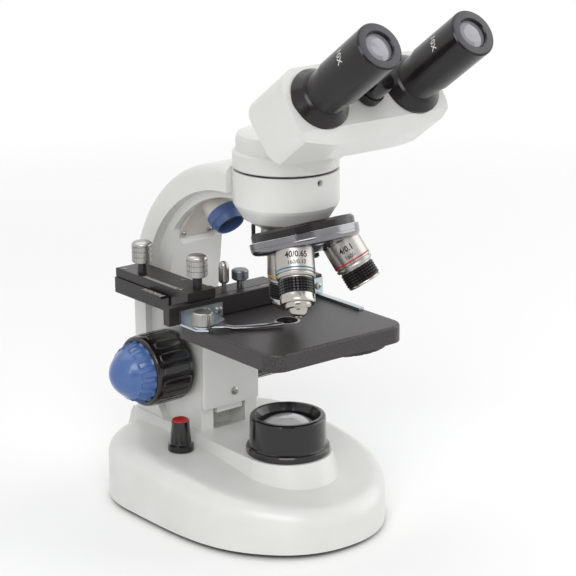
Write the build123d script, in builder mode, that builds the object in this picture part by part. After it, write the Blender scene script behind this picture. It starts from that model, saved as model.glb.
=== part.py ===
"""Binocular student microscope with a base lamp, an arm lamp and a mechanical stage.

Millimetres. +Z is up, the user sits at -Y, and the optical axis is the Z axis. Z = 0 is the table.
"""
import math
import os

from build123d import *

os.makedirs("parts", exist_ok=True)

# General clearances
running_gap = 0.05      # round running fits, on the radius
slide_gap = 0.3         # between flat faces that move past each other
seat_gap = 0.4          # under a knob or above a plate that moves

# Base
foot_height = 2.0
foot_radius = 8.0
front_foot_x = 24.0
front_foot_y = -36.0
back_foot_x = 46.0
back_foot_y = 94.0
plate_thickness = 1.5
plate_inset = 2.0
plate_screw_radius = 1.8
plate_screw_x = 50.0
plate_screw_front_y = 20.0
plate_screw_back_y = 112.0
bolt_radius = 3.0
bolt_head_radius = 4.8
bolt_head_height = 3.2
bolt_grip = 14.0        # in the foot of the arm
bolt_front_y = 98.0
bolt_back_y = 118.0
base_nose = 59.3        # optical axis to the front of the base
base_back = 134.0       # optical axis to the back of the base
base_half_width = 72.0
base_widest_y = 76.0
crown_radius = 676.0    # long arch of the base's top, seen from the side
crown_y = 80.0
crown_height = 39.5     # highest point of the arch above the base's rim
base_roll = 12.0        # round edge between the side wall and the top
base_wall = 6.0
cavity_height = 15.0
pad_height = 44.8       # flat pad above the base's rim
pad_half_width = 28.0
pad_draft = 20.0
boss_radius = 27.5
pocket_room = 1.5       # under the carriage at its lowest

# Power inlet in the back of the base
socket_x = 14.0
socket_radius_dc = 5.5
inlet_length = 15.0
inlet_bore_radius = 3.0
inlet_bore_depth = 10.0

# Base lamp
collar_flange_radius = 26.3
collar_flange_height = 4.6
collar_radius = 24.0
collar_height = 24.0
collar_mouth_radius = 20.5
lens_radius = 18.0
lens_rise = 7.0
light_shaft_radius = 13.0
board_lift = 4.0
board_thickness = 1.6
board_margin = 6.0
board_post_radius = 2.0
board_post_spacing = 24.0
lamp_die_radius = 4.0
lamp_die_height = 3.0

# Brightness knob
dimmer_room = 4.1       # from the slope of the pad to the knob's flange
dimmer_y = 55.4
dimmer_height = 21.0
dimmer_flange_radius = 8.3
dimmer_top_radius = 5.6
dimmer_shaft_radius = 3.0
dimmer_grip = 9.0       # shaft inside the knob
pot_radius = 8.0
pot_lift = 3.0

# Arm
arm_back_y = 129.5
arm_radius = 104.0      # outer curve of the arm
arm_thickness = 21.5    # curved upper part
column_thickness = 32.0 # straight part below it
column_turn = 38.0      # where the curve begins, above the horizontal
band_width = 16.0       # raised outer band
band_half_width = 27.0
web_half_width = 22.3
web_inner_half_width = 17.0
band_round = 5.0
housing_front_y = 60.7
housing_top = 74.0      # above the pad
channel_half_width = 12.8
channel_depth = 17.0
gib_thickness = 2.5

# Head barrel
barrel_radius = 32.2
barrel_top = 228.8
barrel_height = 22.3
barrel_cone_height = 14.0
neck_radius = 15.5
socket_radius = 20.0
socket_depth = 11.0
ring_height = 1.0
lock_drop = 4.0         # head lock screw below the top of the barrel

# Arm lamp
lamp_tilt = 41.5        # below the horizontal
lamp_plate_reach = 96.4 # specimen to the back of the cover plate, along the lamp axis
lamp_plate_half_width = 14.0
lamp_plate_half_height = 24.0
lamp_plate_drop = 12.8  # middle of the plate below the lamp axis
lamp_plate_thickness = 2.0
lamp_tube_radius = 10.8
lamp_tube_wall = 1.8
lamp_ring_radius = 11.4
lamp_ring_length = 10.4
lamp_collar_length = 5.8
lamp_mouth_radius = 9.3
lamp_length = 20.2      # front of the cover plate to the mouth
lamp_grip = 4.0         # tube inside the ring

# Focus drive
focus_y = 83.0
focus_z = 89.8
pinion_radius = 6.5
rack_tooth = 1.2
coarse_shaft_radius = 5.0
fine_shaft_radius = 2.5
bush_radius = 8.0
coarse_inner_x = 26.4   # drum's face nearest the arm
coarse_length = 28.0
coarse_radius = 23.5
coarse_flutes = 16
fine_length = 20.0
fine_radius = 20.5
fine_flutes = 18

# Carriage and stage
carriage_half_width = 22.0
carriage_front_y = 57.7
carriage_bottom = 63.0
tongue_drop = 4.7       # tongue below the carriage plate
focus_travel = 13.5     # stage down from where it stands
rack_half_width = 4.5
rack_tooth_width = 0.8
rack_margin = 2.0
tongue_depth = 11.3
stage_top = 133.0
stage_thickness = 10.8
stage_half_width = 52.0
stage_front_y = -52.0
stage_back_y = 48.0
stage_corner = 11.0
stage_hole_radius = 6.5
bracket_half_width = 27.0
bracket_thickness = 3.8
bracket_room = 1.2      # behind the diaphragm's edge

# Disc diaphragm
disc_x = 24.0
disc_y = -15.2
disc_hole = 3.0         # largest of its holes
disc_rim = 2.6
disc_thickness = 3.0
disc_pivot_radius = 3.0

# Mechanical stage
bar_front_y = 32.0
bar_depth = 6.0
bar_height = 11.5
bar_left_x = -65.5
bar_right_x = 54.0
bar_lift = 1.0          # underside above the stage
block_left_x = -50.0
block_width = 21.0
block_front_y = 34.0
block_back_y = 112.0
block_height = 5.6
rail_front_y = 53.0
rail_height = 10.0
foot_left_x = -26.0
foot_right_x = 22.0
foot_back_y = 52.0
drive_pinion_radius = 3.6
drive_post_radius = 3.0
drive_post_height = 7.4
drive_knob_radius = 6.6
drive_knob_height = 14.0
y_knob_x = -44.0
y_knob_y = 90.7
x_knob_x = -37.0
stop_pin_x = -12.0
stop_pin_y = 48.0
stop_pin_radius = 3.4
stop_pin_height = 17.0
stop_pin_neck = 3.2
clamp_x = -2.7
clamp_y = 43.5
clamp_radius = 5.4
finger_thickness = 1.5
finger_knob_x = -52.0
finger_knob_y = 16.0
finger_knob_radius = 6.5
finger_tip_x = -9.4
finger_tip_y = -8.7
strip_thickness = 1.2   # bent metal strip of the two brackets
right_bracket_width = 8.0
right_finger_tip_y = -14.0

# Revolving nosepiece
apex_z = 239.5          # where the objective axes meet the optical axis
nose_tilt = 19.0
mount_reach = 45.2      # apex to the mount's top face, along the nosepiece axis
mount_thickness = 5.5
mount_radius = 31.5
turret_radius = 33.3
turret_rim = 4.1
turret_bolt_radius = 4.0
turret_drop = 12.3      # mount to an objective's shoulder
seat_radius = 12.6
room_4x = 14.0          # front of an objective to the stage, when it is swung in
room_10x = 8.0
room_40x = 3.0
tip_radius_4x = 7.4
tip_radius_10x = 5.4
tip_radius_40x = 2.8
cone_4x = 0.8
cone_10x = 4.4
cone_40x = 7.0
objective_radius = 11.8
sleeve_radius = 10.8

# Head
head_tilt = 35.5        # eyepiece tubes above the horizontal
head_pivot_z = 232.9    # where the plane of the tubes crosses the optical axis
cap_gap = 0.3
cap_step_z = 240.8
cap_step_radius = 30.1
cap_top_z = 251.7
cap_roof = 4.0
light_path_radius = 14.0
housing_half_width = 55.5
housing_back = 51.0     # along the tubes, from the optical axis
housing_front = 89.2
housing_high = 21.0     # above the tube axes
housing_low = -25.0
housing_parting = -8.0
housing_front_low = -18.5
housing_top_round = 14.0
housing_wall = 4.0
neck_tube_radius = 20.0
pupil_distance = 68.0
pupil_slide = 6.5       # most that each tube moves outwards or inwards
flange_radius = 18.5
flange_height = 7.5
tube_radius = 13.2
tube_bore_radius = 11.65
tube_show = 13.2        # tube between its flange and the eyepiece
eyepiece_radius = 14.1
eyepiece_skirt = 41.4
eye_lens_radius = 8.6
prism_x = 24.0
prism_width = 22.0
prism_height = 20.0
prism_depth = 8.0
ipd_knob_radius = 7.5
ipd_knob_height = 18.0
ipd_knob_drop = 1.5
ipd_skirt_height = 6.0
ipd_stem_radius = 6.2

# Derived places
rim_z = foot_height + plate_thickness
pad_z = rim_z + pad_height
collar_top = pad_z + collar_height
stage_bottom = stage_top - stage_thickness
arc_centre_y = arm_back_y - arm_radius
arc_centre_z = barrel_top - arm_radius
arm_inner_radius = arm_radius - arm_thickness
column_front_y = arm_back_y - column_thickness
groove_radius = arm_radius - band_width
housing_top_z = pad_z + housing_top
bar_bottom = stage_top + bar_lift
bar_top = bar_bottom + bar_height
block_bottom = bar_top + slide_gap
block_top = block_bottom + block_height
block_right_x = block_left_x + block_width
rail_top = bar_top
bar_back_y = bar_front_y + bar_depth
x_knob_y = bar_back_y + drive_pinion_radius
barrel_bottom = barrel_top - barrel_height
cap_bottom = barrel_top + ring_height + cap_gap
tongue_half_width = channel_half_width - gib_thickness - slide_gap
tongue_back_y = housing_front_y + tongue_depth
tongue_bottom = carriage_bottom - tongue_drop
pocket_front_y = housing_front_y - 2 * slide_gap
rack_pitch_y = focus_y - pinion_radius
disc_radius = math.hypot(disc_x, disc_y) + disc_hole + disc_rim
bracket_front_y = disc_y + disc_radius + bracket_room
arm_root_y = min(arc_centre_y - 1, barrel_radius - 8)
seat_reach = mount_reach + mount_thickness + turret_drop
stage_reach = apex_z - stage_top
barrel_4x_length = stage_reach - seat_reach - room_4x
barrel_10x_length = stage_reach - seat_reach - room_10x
barrel_40x_length = stage_reach - seat_reach - room_40x

sin_nose, cos_nose = math.sin(math.radians(nose_tilt)), math.cos(math.radians(nose_tilt))
sin_head, cos_head = math.sin(math.radians(head_tilt)), math.cos(math.radians(head_tilt))
sin_lamp, cos_lamp = math.sin(math.radians(lamp_tilt)), math.cos(math.radians(lamp_tilt))


def crown_z(y):
    """Height of the base's arched top at a distance from the optical axis."""
    return rim_z + crown_height - crown_radius + math.sqrt(crown_radius**2 - (y - crown_y) ** 2)


pad_foot_x = pad_half_width + (pad_z - crown_z(dimmer_y)) * math.tan(math.radians(pad_draft))
dimmer_x = -(pad_foot_x + dimmer_flange_radius + dimmer_room)

# Planes whose Z runs along an axis of the instrument
nose_axis = Plane(origin=(0, 0, apex_z), x_dir=(1, 0, 0), z_dir=(0, -sin_nose, -cos_nose))
head_axis = Plane(origin=(0, 0, head_pivot_z), x_dir=(1, 0, 0), z_dir=(0, -cos_head, sin_head))
lamp_axis = Plane(origin=(0, 0, stage_top), x_dir=(1, 0, 0), z_dir=(0, cos_lamp, sin_lamp))
focus_axis = Plane(origin=(0, focus_y, focus_z), x_dir=(0, 1, 0), z_dir=(1, 0, 0))


def upright(x, y, z=0.0):
    """Vertical axis plane at a point of the plan."""
    return Plane(origin=(x, y, z), x_dir=(1, 0, 0), z_dir=(0, 0, 1))


def section_of(axis_plane):
    """Plane through an axis: x is the radius and y runs along the axis."""
    return Plane(origin=axis_plane.origin, x_dir=axis_plane.x_dir, z_dir=-axis_plane.y_dir)


def axis_of(axis_plane):
    """Axis along an axis plane's Z."""
    return Axis(axis_plane.origin, axis_plane.z_dir)


def half_section(axis_plane, *outline):
    """Closed outline of (radius, along) points, ready to be revolved about the plane's axis."""
    with BuildSketch(section_of(axis_plane)) as section:
        with BuildLine():
            Polyline(*outline, close=True)
        make_face()
    return section.sketch


def station_axis(turn):
    """Axis plane of the objective at a turn of the nosepiece, pointing down its barrel."""
    out = math.radians(turn)
    back = Vector(0, cos_nose, -sin_nose)
    side = Vector(1, 0, 0)
    radial = back * math.cos(out) + side * math.sin(out)
    along = nose_axis.z_dir * cos_nose + radial * sin_nose
    across = nose_axis.z_dir.cross(radial)
    return Plane(origin=nose_axis.origin, x_dir=across, z_dir=along)


def save(builder, name):
    """Label a finished piece and write it under its node name."""
    builder.part.label = name
    export_step(builder.part, f"parts/{name}.step")


def base_plan(z, inset=0.0):
    """Egg-shaped plan of the base with a broad nose, at a height and drawn in by an inset."""
    nose = -base_nose + inset
    half = base_half_width - inset
    back = base_back - inset
    with BuildSketch(Plane.XY.offset(z)) as plan:
        with BuildLine():
            Spline(
                (0, nose),
                (half * 0.68, nose * 0.61),
                (half, base_widest_y),
                tangents=((1, 0), (0, 1)),
            )
            Spline(
                (half, base_widest_y),
                (half * 0.71, base_widest_y + (back - base_widest_y) * 0.76),
                (0, back),
                tangents=((0, 1), (-1, 0)),
            )
            mirror(about=Plane.YZ)
        make_face()
    return plan.sketch


# Pad: round under the lamp, straight under the arm, with drafted sides
with BuildPart() as base_pad:
    with BuildSketch(Plane.XY.offset(pad_z)):
        Circle(boss_radius)
        with Locations((0, arm_back_y / 2)):
            Rectangle(2 * pad_half_width, arm_back_y)
    extrude(amount=-(pad_height - cavity_height), taper=-pad_draft)
    extrude(base_plan(rim_z), amount=pad_height + 1, mode=Mode.INTERSECT)

bolt_places = ((0, bolt_front_y), (0, bolt_back_y))
socket_z = rim_z + 9.0

with BuildPart() as base_casting:
    extrude(base_plan(rim_z), amount=crown_height + 1)
    with BuildSketch(Plane.YZ):
        with Locations((crown_y, rim_z + crown_height - crown_radius)):
            Circle(crown_radius)
    extrude(amount=base_half_width + 1, both=True, mode=Mode.INTERSECT)
    fillet(base_casting.faces().sort_by(Axis.Z)[-1].edges(), base_roll)
    add(base_pad.part)
    extrude(base_plan(rim_z, base_wall), amount=cavity_height, mode=Mode.SUBTRACT)
    with BuildSketch(Plane.XY.offset(pad_z)):
        Circle(light_shaft_radius)
        with Locations(*bolt_places):
            Circle(bolt_radius + running_gap)
    extrude(amount=-pad_height, mode=Mode.SUBTRACT)
    # Pocket under the carriage's tongue
    with BuildSketch(Plane.XY.offset(pad_z)):
        with Locations((0, (pocket_front_y + housing_front_y + channel_depth) / 2)):
            Rectangle(2 * channel_half_width, housing_front_y + channel_depth - pocket_front_y)
    extrude(amount=tongue_bottom - focus_travel - pocket_room - pad_z, mode=Mode.SUBTRACT)
    with BuildSketch(upright(dimmer_x, dimmer_y, rim_z)):
        Circle(dimmer_shaft_radius + 1.0)
    extrude(amount=crown_height, mode=Mode.SUBTRACT)
    with BuildSketch(Plane.XZ.offset(-base_back + 20)):
        with Locations((socket_x, socket_z)):
            Circle(socket_radius_dc)
    extrude(amount=-20, mode=Mode.SUBTRACT)
save(base_casting, "base_casting")

feet_places = (
    (-front_foot_x, front_foot_y),
    (front_foot_x, front_foot_y),
    (-back_foot_x, back_foot_y),
    (back_foot_x, back_foot_y),
)
plate_screw_places = ((-plate_screw_x, plate_screw_front_y), (plate_screw_x, plate_screw_front_y), (0, plate_screw_back_y))

with BuildPart() as bottom_plate:
    extrude(base_plan(foot_height, plate_inset), amount=plate_thickness)
    with BuildSketch(Plane.XY.offset(foot_height)):
        with Locations(*plate_screw_places):
            Circle(plate_screw_radius + running_gap)
    extrude(amount=plate_thickness, mode=Mode.SUBTRACT)
save(bottom_plate, "bottom_plate")

with BuildPart() as rubber_feet:
    for place in feet_places:
        foot_axis = upright(*place)
        outline = ((0, 0), (foot_radius - 1, 0), (foot_radius, 1), (foot_radius, foot_height), (0, foot_height))
        revolve(half_section(foot_axis, *outline), axis=axis_of(foot_axis))
save(rubber_feet, "rubber_feet")

with BuildPart() as base_screws:
    for place in bolt_places:
        bolt_axis = upright(*place, rim_z + cavity_height)
        outline = (
            (0, -bolt_head_height),
            (bolt_head_radius, -bolt_head_height),
            (bolt_head_radius, 0),
            (bolt_radius, 0),
            (bolt_radius, pad_z - rim_z - cavity_height + bolt_grip),
            (0, pad_z - rim_z - cavity_height + bolt_grip),
        )
        revolve(half_section(bolt_axis, *outline), axis=axis_of(bolt_axis))
save(base_screws, "base_screws")

inlet_axis = Plane(origin=(socket_x, base_back, socket_z), x_dir=(1, 0, 0), z_dir=(0, 1, 0))
with BuildPart() as dc_socket:
    outline = (
        (0, -inlet_length),
        (socket_radius_dc - running_gap, -inlet_length),
        (socket_radius_dc - running_gap, -0.5),
        (socket_radius_dc - 0.5, 0),
        (inlet_bore_radius, 0),
        (inlet_bore_radius, -inlet_bore_depth),
        (0, -inlet_bore_depth),
    )
    revolve(half_section(inlet_axis, *outline), axis=axis_of(inlet_axis))
save(dc_socket, "dc_socket")

with BuildPart() as led_board:
    board_z = rim_z + board_lift
    with BuildSketch(Plane.XY.offset(board_z)):
        Circle(light_shaft_radius + board_margin)
    extrude(amount=board_thickness)
    with BuildSketch(Plane.XY.offset(board_z + board_thickness)):
        Circle(lamp_die_radius)
    extrude(amount=lamp_die_height)
    with BuildSketch(Plane.XY.offset(rim_z)):
        with GridLocations(board_post_spacing, board_post_spacing, 2, 2):
            Circle(board_post_radius)
    extrude(amount=board_z - rim_z)
save(led_board, "led_board")

with BuildPart() as illuminator_collar:
    wall = lens_radius + running_gap
    outline = (
        (light_shaft_radius + 1, 0),
        (collar_flange_radius - 0.5, 0),
        (collar_flange_radius, 0.7),
        (collar_flange_radius, collar_flange_height - 1.3),
        (collar_flange_radius - 0.5, collar_flange_height - 0.4),
        (collar_radius + 0.7, collar_flange_height),
        (collar_radius + 0.2, collar_flange_height + 0.5),
        (collar_radius - 0.3, collar_height - 1.6),
        (collar_radius - 0.7, collar_height - 0.6),
        (collar_radius - 1.7, collar_height),
        (collar_mouth_radius, collar_height),
        (wall, collar_height - 4.5),
        (wall, collar_height - 11),
        (light_shaft_radius + 1, collar_height - 11),
    )
    revolve(half_section(upright(0, 0, pad_z), *outline), axis=Axis.Z)
save(illuminator_collar, "illuminator_collar")

with BuildPart() as collector_lens:
    seat_z = collar_top - 11
    dome_edge = seat_z + 3.0
    with BuildSketch(Plane.XZ):
        with BuildLine():
            dome = ThreePointArc(
                (0, dome_edge + lens_rise),
                (lens_radius * 0.72, dome_edge + lens_rise * 0.53),
                (lens_radius, dome_edge),
            )
            Polyline(dome @ 1, (lens_radius, seat_z), (0, seat_z), dome @ 0)
        make_face()
    revolve(axis=Axis.Z)
save(collector_lens, "collector_lens")

dimmer_seat = crown_z(dimmer_y) + seat_gap
with BuildPart() as dimmer_pot:
    pot_bottom = rim_z + pot_lift
    with BuildSketch(upright(dimmer_x, dimmer_y, pot_bottom)):
        Circle(pot_radius)
    extrude(amount=cavity_height - pot_lift)
    with BuildSketch(upright(dimmer_x, dimmer_y, pot_bottom)):
        Circle(dimmer_shaft_radius - running_gap)
    extrude(amount=dimmer_seat + dimmer_grip - pot_bottom)
save(dimmer_pot, "dimmer_pot")

dimmer_axis = upright(dimmer_x, dimmer_y, dimmer_seat)
with BuildPart() as dimmer_knob:
    flange_height_dimmer = 4.5
    skirt_radius = dimmer_flange_radius - 1.6
    outline = (
        (dimmer_shaft_radius, 0),
        (dimmer_flange_radius, 0),
        (dimmer_flange_radius, flange_height_dimmer - 1),
        (skirt_radius, flange_height_dimmer),
        (dimmer_top_radius, dimmer_height - 2.0),
        (0, dimmer_height - 2.0),
        (0, dimmer_grip),
        (dimmer_shaft_radius, dimmer_grip),
    )
    revolve(half_section(dimmer_axis, *outline), axis=axis_of(dimmer_axis))
    with BuildSketch(dimmer_axis.offset(flange_height_dimmer + 1)):
        with PolarLocations(skirt_radius + 0.1, 12):
            Circle(0.8)
    extrude(amount=dimmer_height, mode=Mode.SUBTRACT)
save(dimmer_knob, "dimmer_knob")

with BuildPart() as dimmer_cap:
    cap_radius = dimmer_top_radius - 0.5
    outline = (
        (0, dimmer_height - 2.0),
        (cap_radius, dimmer_height - 2.0),
        (cap_radius, dimmer_height - 0.9),
        (cap_radius * 0.7, dimmer_height - 0.2),
        (0, dimmer_height),
    )
    revolve(half_section(dimmer_axis, *outline), axis=axis_of(dimmer_axis))
save(dimmer_cap, "dimmer_cap")

# Arm: raised outer band, narrower web, focus housing and head barrel
barrel_axis = upright(0, 0)
with BuildPart() as arm_casting:
    with BuildSketch(Plane.YZ):
        with BuildLine():
            outer = CenterArc((arc_centre_y, arc_centre_z), arm_radius, 0, 90)
            inner = CenterArc((arc_centre_y, arc_centre_z), groove_radius, 0, 90)
            Polyline(
                outer @ 1,
                (arm_root_y, arc_centre_z + arm_radius),
                (arm_root_y, arc_centre_z + groove_radius),
                inner @ 1,
            )
            Polyline(
                inner @ 0,
                (arc_centre_y + groove_radius, pad_z + 24),
                (housing_front_y + 36, pad_z),
                (arm_back_y, pad_z),
                outer @ 0,
            )
        make_face()
    extrude(amount=band_half_width, both=True)
    outer_edges = (
        arm_casting.edges()
        .filter_by(lambda e: abs(abs(e.center().X) - band_half_width) < 0.1)
        .filter_by(
            lambda e: (
                math.hypot((e @ 0.5).Y - arc_centre_y, (e @ 0.5).Z - arc_centre_z) > arm_radius - 0.5
                or abs((e @ 0.5).Y - arm_back_y) < 0.1
            )
            and (e @ 0.5).Z > pad_z + 1
        )
    )
    fillet(outer_edges, band_round)
    with BuildSketch(Plane.YZ):
        with BuildLine():
            outer = CenterArc((arc_centre_y, arc_centre_z), groove_radius + 2, 0, 90)
            inner = CenterArc((arc_centre_y, arc_centre_z), arm_inner_radius, column_turn, 90 - column_turn)
            Polyline(
                outer @ 1,
                (arm_root_y, arc_centre_z + groove_radius + 2),
                (arm_root_y, arc_centre_z + arm_inner_radius),
                inner @ 1,
            )
            Polyline(outer @ 0, (column_front_y, arc_centre_z), inner @ 0)
        make_face()
    extrude(amount=(web_half_width + web_inner_half_width) / 2, both=True)
    with BuildSketch(Plane.YZ):
        with BuildLine():
            Polyline(
                (arc_centre_y + groove_radius + 2, arc_centre_z),
                (column_front_y, arc_centre_z),
                (column_front_y - 8, housing_top_z + 2),
                (column_front_y - 16, housing_top_z),
                (housing_front_y, housing_top_z),
                (housing_front_y, pad_z),
                (arc_centre_y + groove_radius + 2, pad_z),
                close=True,
            )
        make_face()
    extrude(amount=web_half_width, both=True)
    barrel = (
        (0, barrel_bottom - barrel_cone_height - 18),
        (neck_radius, barrel_bottom - barrel_cone_height - 18),
        (neck_radius, barrel_bottom - barrel_cone_height),
        (barrel_radius * 0.81, barrel_bottom - barrel_cone_height * 0.56),
        (barrel_radius - 1, barrel_bottom),
        (barrel_radius, barrel_bottom + 2),
        (barrel_radius, barrel_top),
        (0, barrel_top),
    )
    revolve(half_section(barrel_axis, *barrel), axis=Axis.Z)
    # Flat for the nosepiece, square to its axis
    with BuildSketch(nose_axis.offset(mount_reach)):
        Circle(2 * turret_radius)
    extrude(amount=40, mode=Mode.SUBTRACT)
    # Socket for the head's spigot and the light path below it
    with BuildSketch(Plane.XY.offset(barrel_top)):
        Circle(socket_radius + running_gap)
    extrude(amount=-socket_depth, mode=Mode.SUBTRACT)
    with BuildSketch(Plane.XY.offset(barrel_top)):
        Circle(10.0)
    extrude(amount=-60, mode=Mode.SUBTRACT)
    # Channel for the carriage's tongue, open at the top
    with BuildSketch(Plane.XY.offset(pad_z)):
        with Locations((0, housing_front_y + channel_depth / 2)):
            Rectangle(2 * channel_half_width, channel_depth)
    extrude(amount=housing_top, mode=Mode.SUBTRACT)
    # Cross bore for the focus shaft's bushes and room for the pinion
    with BuildSketch(focus_axis):
        Circle(bush_radius)
    extrude(amount=band_half_width + 1, both=True, mode=Mode.SUBTRACT)
    # Pocket for the lamp plate
    with BuildSketch(lamp_axis.offset(lamp_plate_reach)):
        with Locations((0, lamp_plate_drop)):
            RectangleRounded(2 * lamp_plate_half_width + 1, 2 * lamp_plate_half_height + 1, 4)
    extrude(amount=-30, mode=Mode.SUBTRACT)
    # Threaded holes over the base bolts
    with BuildSketch(Plane.XY.offset(pad_z)):
        with Locations(*bolt_places):
            Circle(bolt_radius + running_gap)
    extrude(amount=bolt_grip + 1, mode=Mode.SUBTRACT)
    # Side hole for the head lock screw
    lock_side = Plane(origin=(0, 0, barrel_top - lock_drop), x_dir=(0, 0, 1), z_dir=(0, -1, 0))
    with BuildSketch(lock_side):
        Circle(2.0)
    extrude(amount=barrel_radius + 2, mode=Mode.SUBTRACT)
save(arm_casting, "arm_casting")

with BuildPart() as head_lock_screw:
    with BuildSketch(lock_side.offset(socket_radius + 1.0)):
        Circle(2.0 - running_gap)
    extrude(amount=barrel_radius - socket_radius - 3.0)
    with BuildSketch(lock_side.offset(barrel_radius - 2.0)):
        RegularPolygon(1.0, 6)
    extrude(amount=-2.5, mode=Mode.SUBTRACT)
save(head_lock_screw, "head_lock_screw")

with BuildPart() as lamp_cover:
    with BuildSketch(lamp_axis.offset(lamp_plate_reach)):
        with Locations((0, lamp_plate_drop)):
            RectangleRounded(2 * lamp_plate_half_width, 2 * lamp_plate_half_height, 3.5)
        Circle(lamp_tube_radius - lamp_tube_wall, mode=Mode.SUBTRACT)
    extrude(amount=-lamp_plate_thickness)
save(lamp_cover, "lamp_cover")

lamp_mouth_reach = lamp_plate_reach - lamp_plate_thickness - lamp_length
ring_back_reach = lamp_mouth_reach + lamp_ring_length
tube_end_reach = ring_back_reach - lamp_grip
with BuildPart() as lamp_tube:
    inside = lamp_tube_radius - lamp_tube_wall
    outline = (
        (inside, lamp_plate_reach - lamp_plate_thickness),
        (lamp_tube_radius, lamp_plate_reach - lamp_plate_thickness),
        (lamp_tube_radius, ring_back_reach),
        (lamp_tube_radius - 0.5, ring_back_reach),
        (lamp_tube_radius - 0.5, tube_end_reach),
        (inside, tube_end_reach),
    )
    revolve(half_section(lamp_axis, *outline), axis=axis_of(lamp_axis))
save(lamp_tube, "lamp_tube")

with BuildPart() as lamp_ring:
    mouth = lamp_mouth_reach
    step = ring_back_reach - lamp_collar_length
    outline = (
        (lamp_tube_radius - 0.5, ring_back_reach),
        (lamp_ring_radius - 0.3, ring_back_reach),
        (lamp_ring_radius, ring_back_reach - 0.4),
        (lamp_ring_radius, step),
        (lamp_ring_radius - 0.7, step - 0.7),
        (lamp_mouth_radius, mouth + 0.5),
        (lamp_mouth_radius - 0.4, mouth),
        (lamp_mouth_radius - 0.8, mouth + 0.5),
        (lamp_tube_radius - lamp_tube_wall, tube_end_reach - 0.2),
        (lamp_tube_radius - 0.5, tube_end_reach - 0.2),
    )
    revolve(half_section(lamp_axis, *outline), axis=axis_of(lamp_axis))
save(lamp_ring, "lamp_ring")

with BuildPart() as slide_guides:
    gib_bottom = carriage_bottom + gib_thickness
    gib_depth = tongue_depth + 1
    for side in (-1, 1):
        gib_x = side * (channel_half_width - gib_thickness / 2)
        with BuildSketch(Plane.XY.offset(gib_bottom)):
            with Locations((gib_x, housing_front_y + gib_depth / 2)):
                Rectangle(gib_thickness, gib_depth)
        extrude(amount=housing_top_z - gib_bottom)
save(slide_guides, "slide_guides")

# Focus drive
with BuildPart() as focus_bushes:
    bore = coarse_shaft_radius + running_gap
    bush_outer = web_half_width + 1.5
    for side in (-1, 1):
        outline = (
            (bore, side * (channel_half_width + 1)),
            (bush_radius, side * (channel_half_width + 1)),
            (bush_radius, side * web_half_width),
            (bush_radius + 3, side * web_half_width),
            (bush_radius + 3, side * bush_outer),
            (bore, side * bush_outer),
        )
        revolve(half_section(focus_axis, *outline), axis=axis_of(focus_axis))
save(focus_bushes, "focus_bushes")

tooth_count = 20
with BuildPart() as coarse_shaft:
    shaft_end = coarse_inner_x + 10
    with BuildSketch(focus_axis.offset(-shaft_end)):
        Circle(coarse_shaft_radius)
    extrude(amount=2 * shaft_end)
    with BuildSketch(focus_axis.offset(-5)):
        Circle(pinion_radius - rack_tooth / 2)
        with PolarLocations(pinion_radius - rack_tooth / 2, tooth_count):
            Rectangle(rack_tooth, rack_tooth_width)
    extrude(amount=10)
    with BuildSketch(focus_axis.offset(-shaft_end)):
        Circle(fine_shaft_radius + running_gap)
    extrude(amount=2 * shaft_end, mode=Mode.SUBTRACT)
save(coarse_shaft, "coarse_shaft")


def coarse_profile(side):
    """Hollow drum with rounded rims, seen as a half section along the shaft."""
    near = side * coarse_inner_x
    far = side * (coarse_inner_x + coarse_length)
    hub_end = side * (coarse_inner_x + 10)
    step = side * 2.0
    return (
        (coarse_shaft_radius, near),
        (coarse_radius - 1.5, near),
        (coarse_radius, near + step),
        (coarse_radius, far - 1.5 * step),
        (coarse_radius - 1.2, far),
        (fine_radius + 0.6, far),
        (fine_radius + 0.6, far - 2 * step),
        (coarse_shaft_radius + 4, hub_end),
        (coarse_shaft_radius, hub_end),
    )


for side, name in ((-1, "coarse_knob_left"), (1, "coarse_knob_right")):
    with BuildPart() as coarse_knob:
        revolve(half_section(focus_axis, *coarse_profile(side)), axis=axis_of(focus_axis))
        with BuildSketch(focus_axis.offset(side * (coarse_inner_x + 4))):
            with PolarLocations(coarse_radius + 0.9, coarse_flutes):
                Circle(2.0)
        extrude(amount=side * (coarse_length - 9), mode=Mode.SUBTRACT)
    save(coarse_knob, name)

fine_inner_x = coarse_inner_x + coarse_length - 4 + seat_gap
fine_tip_x = fine_inner_x + fine_length + 4
with BuildPart() as fine_shaft:
    with BuildSketch(focus_axis.offset(-fine_tip_x + 8)):
        Circle(fine_shaft_radius)
    extrude(amount=2 * (fine_tip_x - 8))
save(fine_shaft, "fine_shaft")

for side, name in ((-1, "fine_knob_left"), (1, "fine_knob_right")):
    with BuildPart() as fine_knob:
        with BuildSketch(section_of(focus_axis)):
            with BuildLine():
                rim = Line((fine_radius, side * fine_inner_x), (fine_radius, side * (fine_inner_x + 5)))
                dome = ThreePointArc(
                    rim @ 1,
                    (fine_radius * 0.8, side * (fine_inner_x + 17)),
                    (fine_radius * 0.42, side * fine_tip_x - side * 0.5),
                )
                Polyline(
                    dome @ 1,
                    (0, side * fine_tip_x),
                    (0, side * (fine_tip_x - 8)),
                    (fine_shaft_radius, side * (fine_tip_x - 8)),
                    (fine_shaft_radius, side * fine_inner_x),
                    rim @ 0,
                )
            make_face()
        revolve(axis=axis_of(focus_axis))
        with BuildSketch(focus_axis.offset(side * (fine_inner_x + 6))):
            with PolarLocations(fine_radius + 0.2, fine_flutes):
                Circle(1.1)
        extrude(amount=side * 12, mode=Mode.SUBTRACT)
    save(fine_knob, name)

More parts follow.
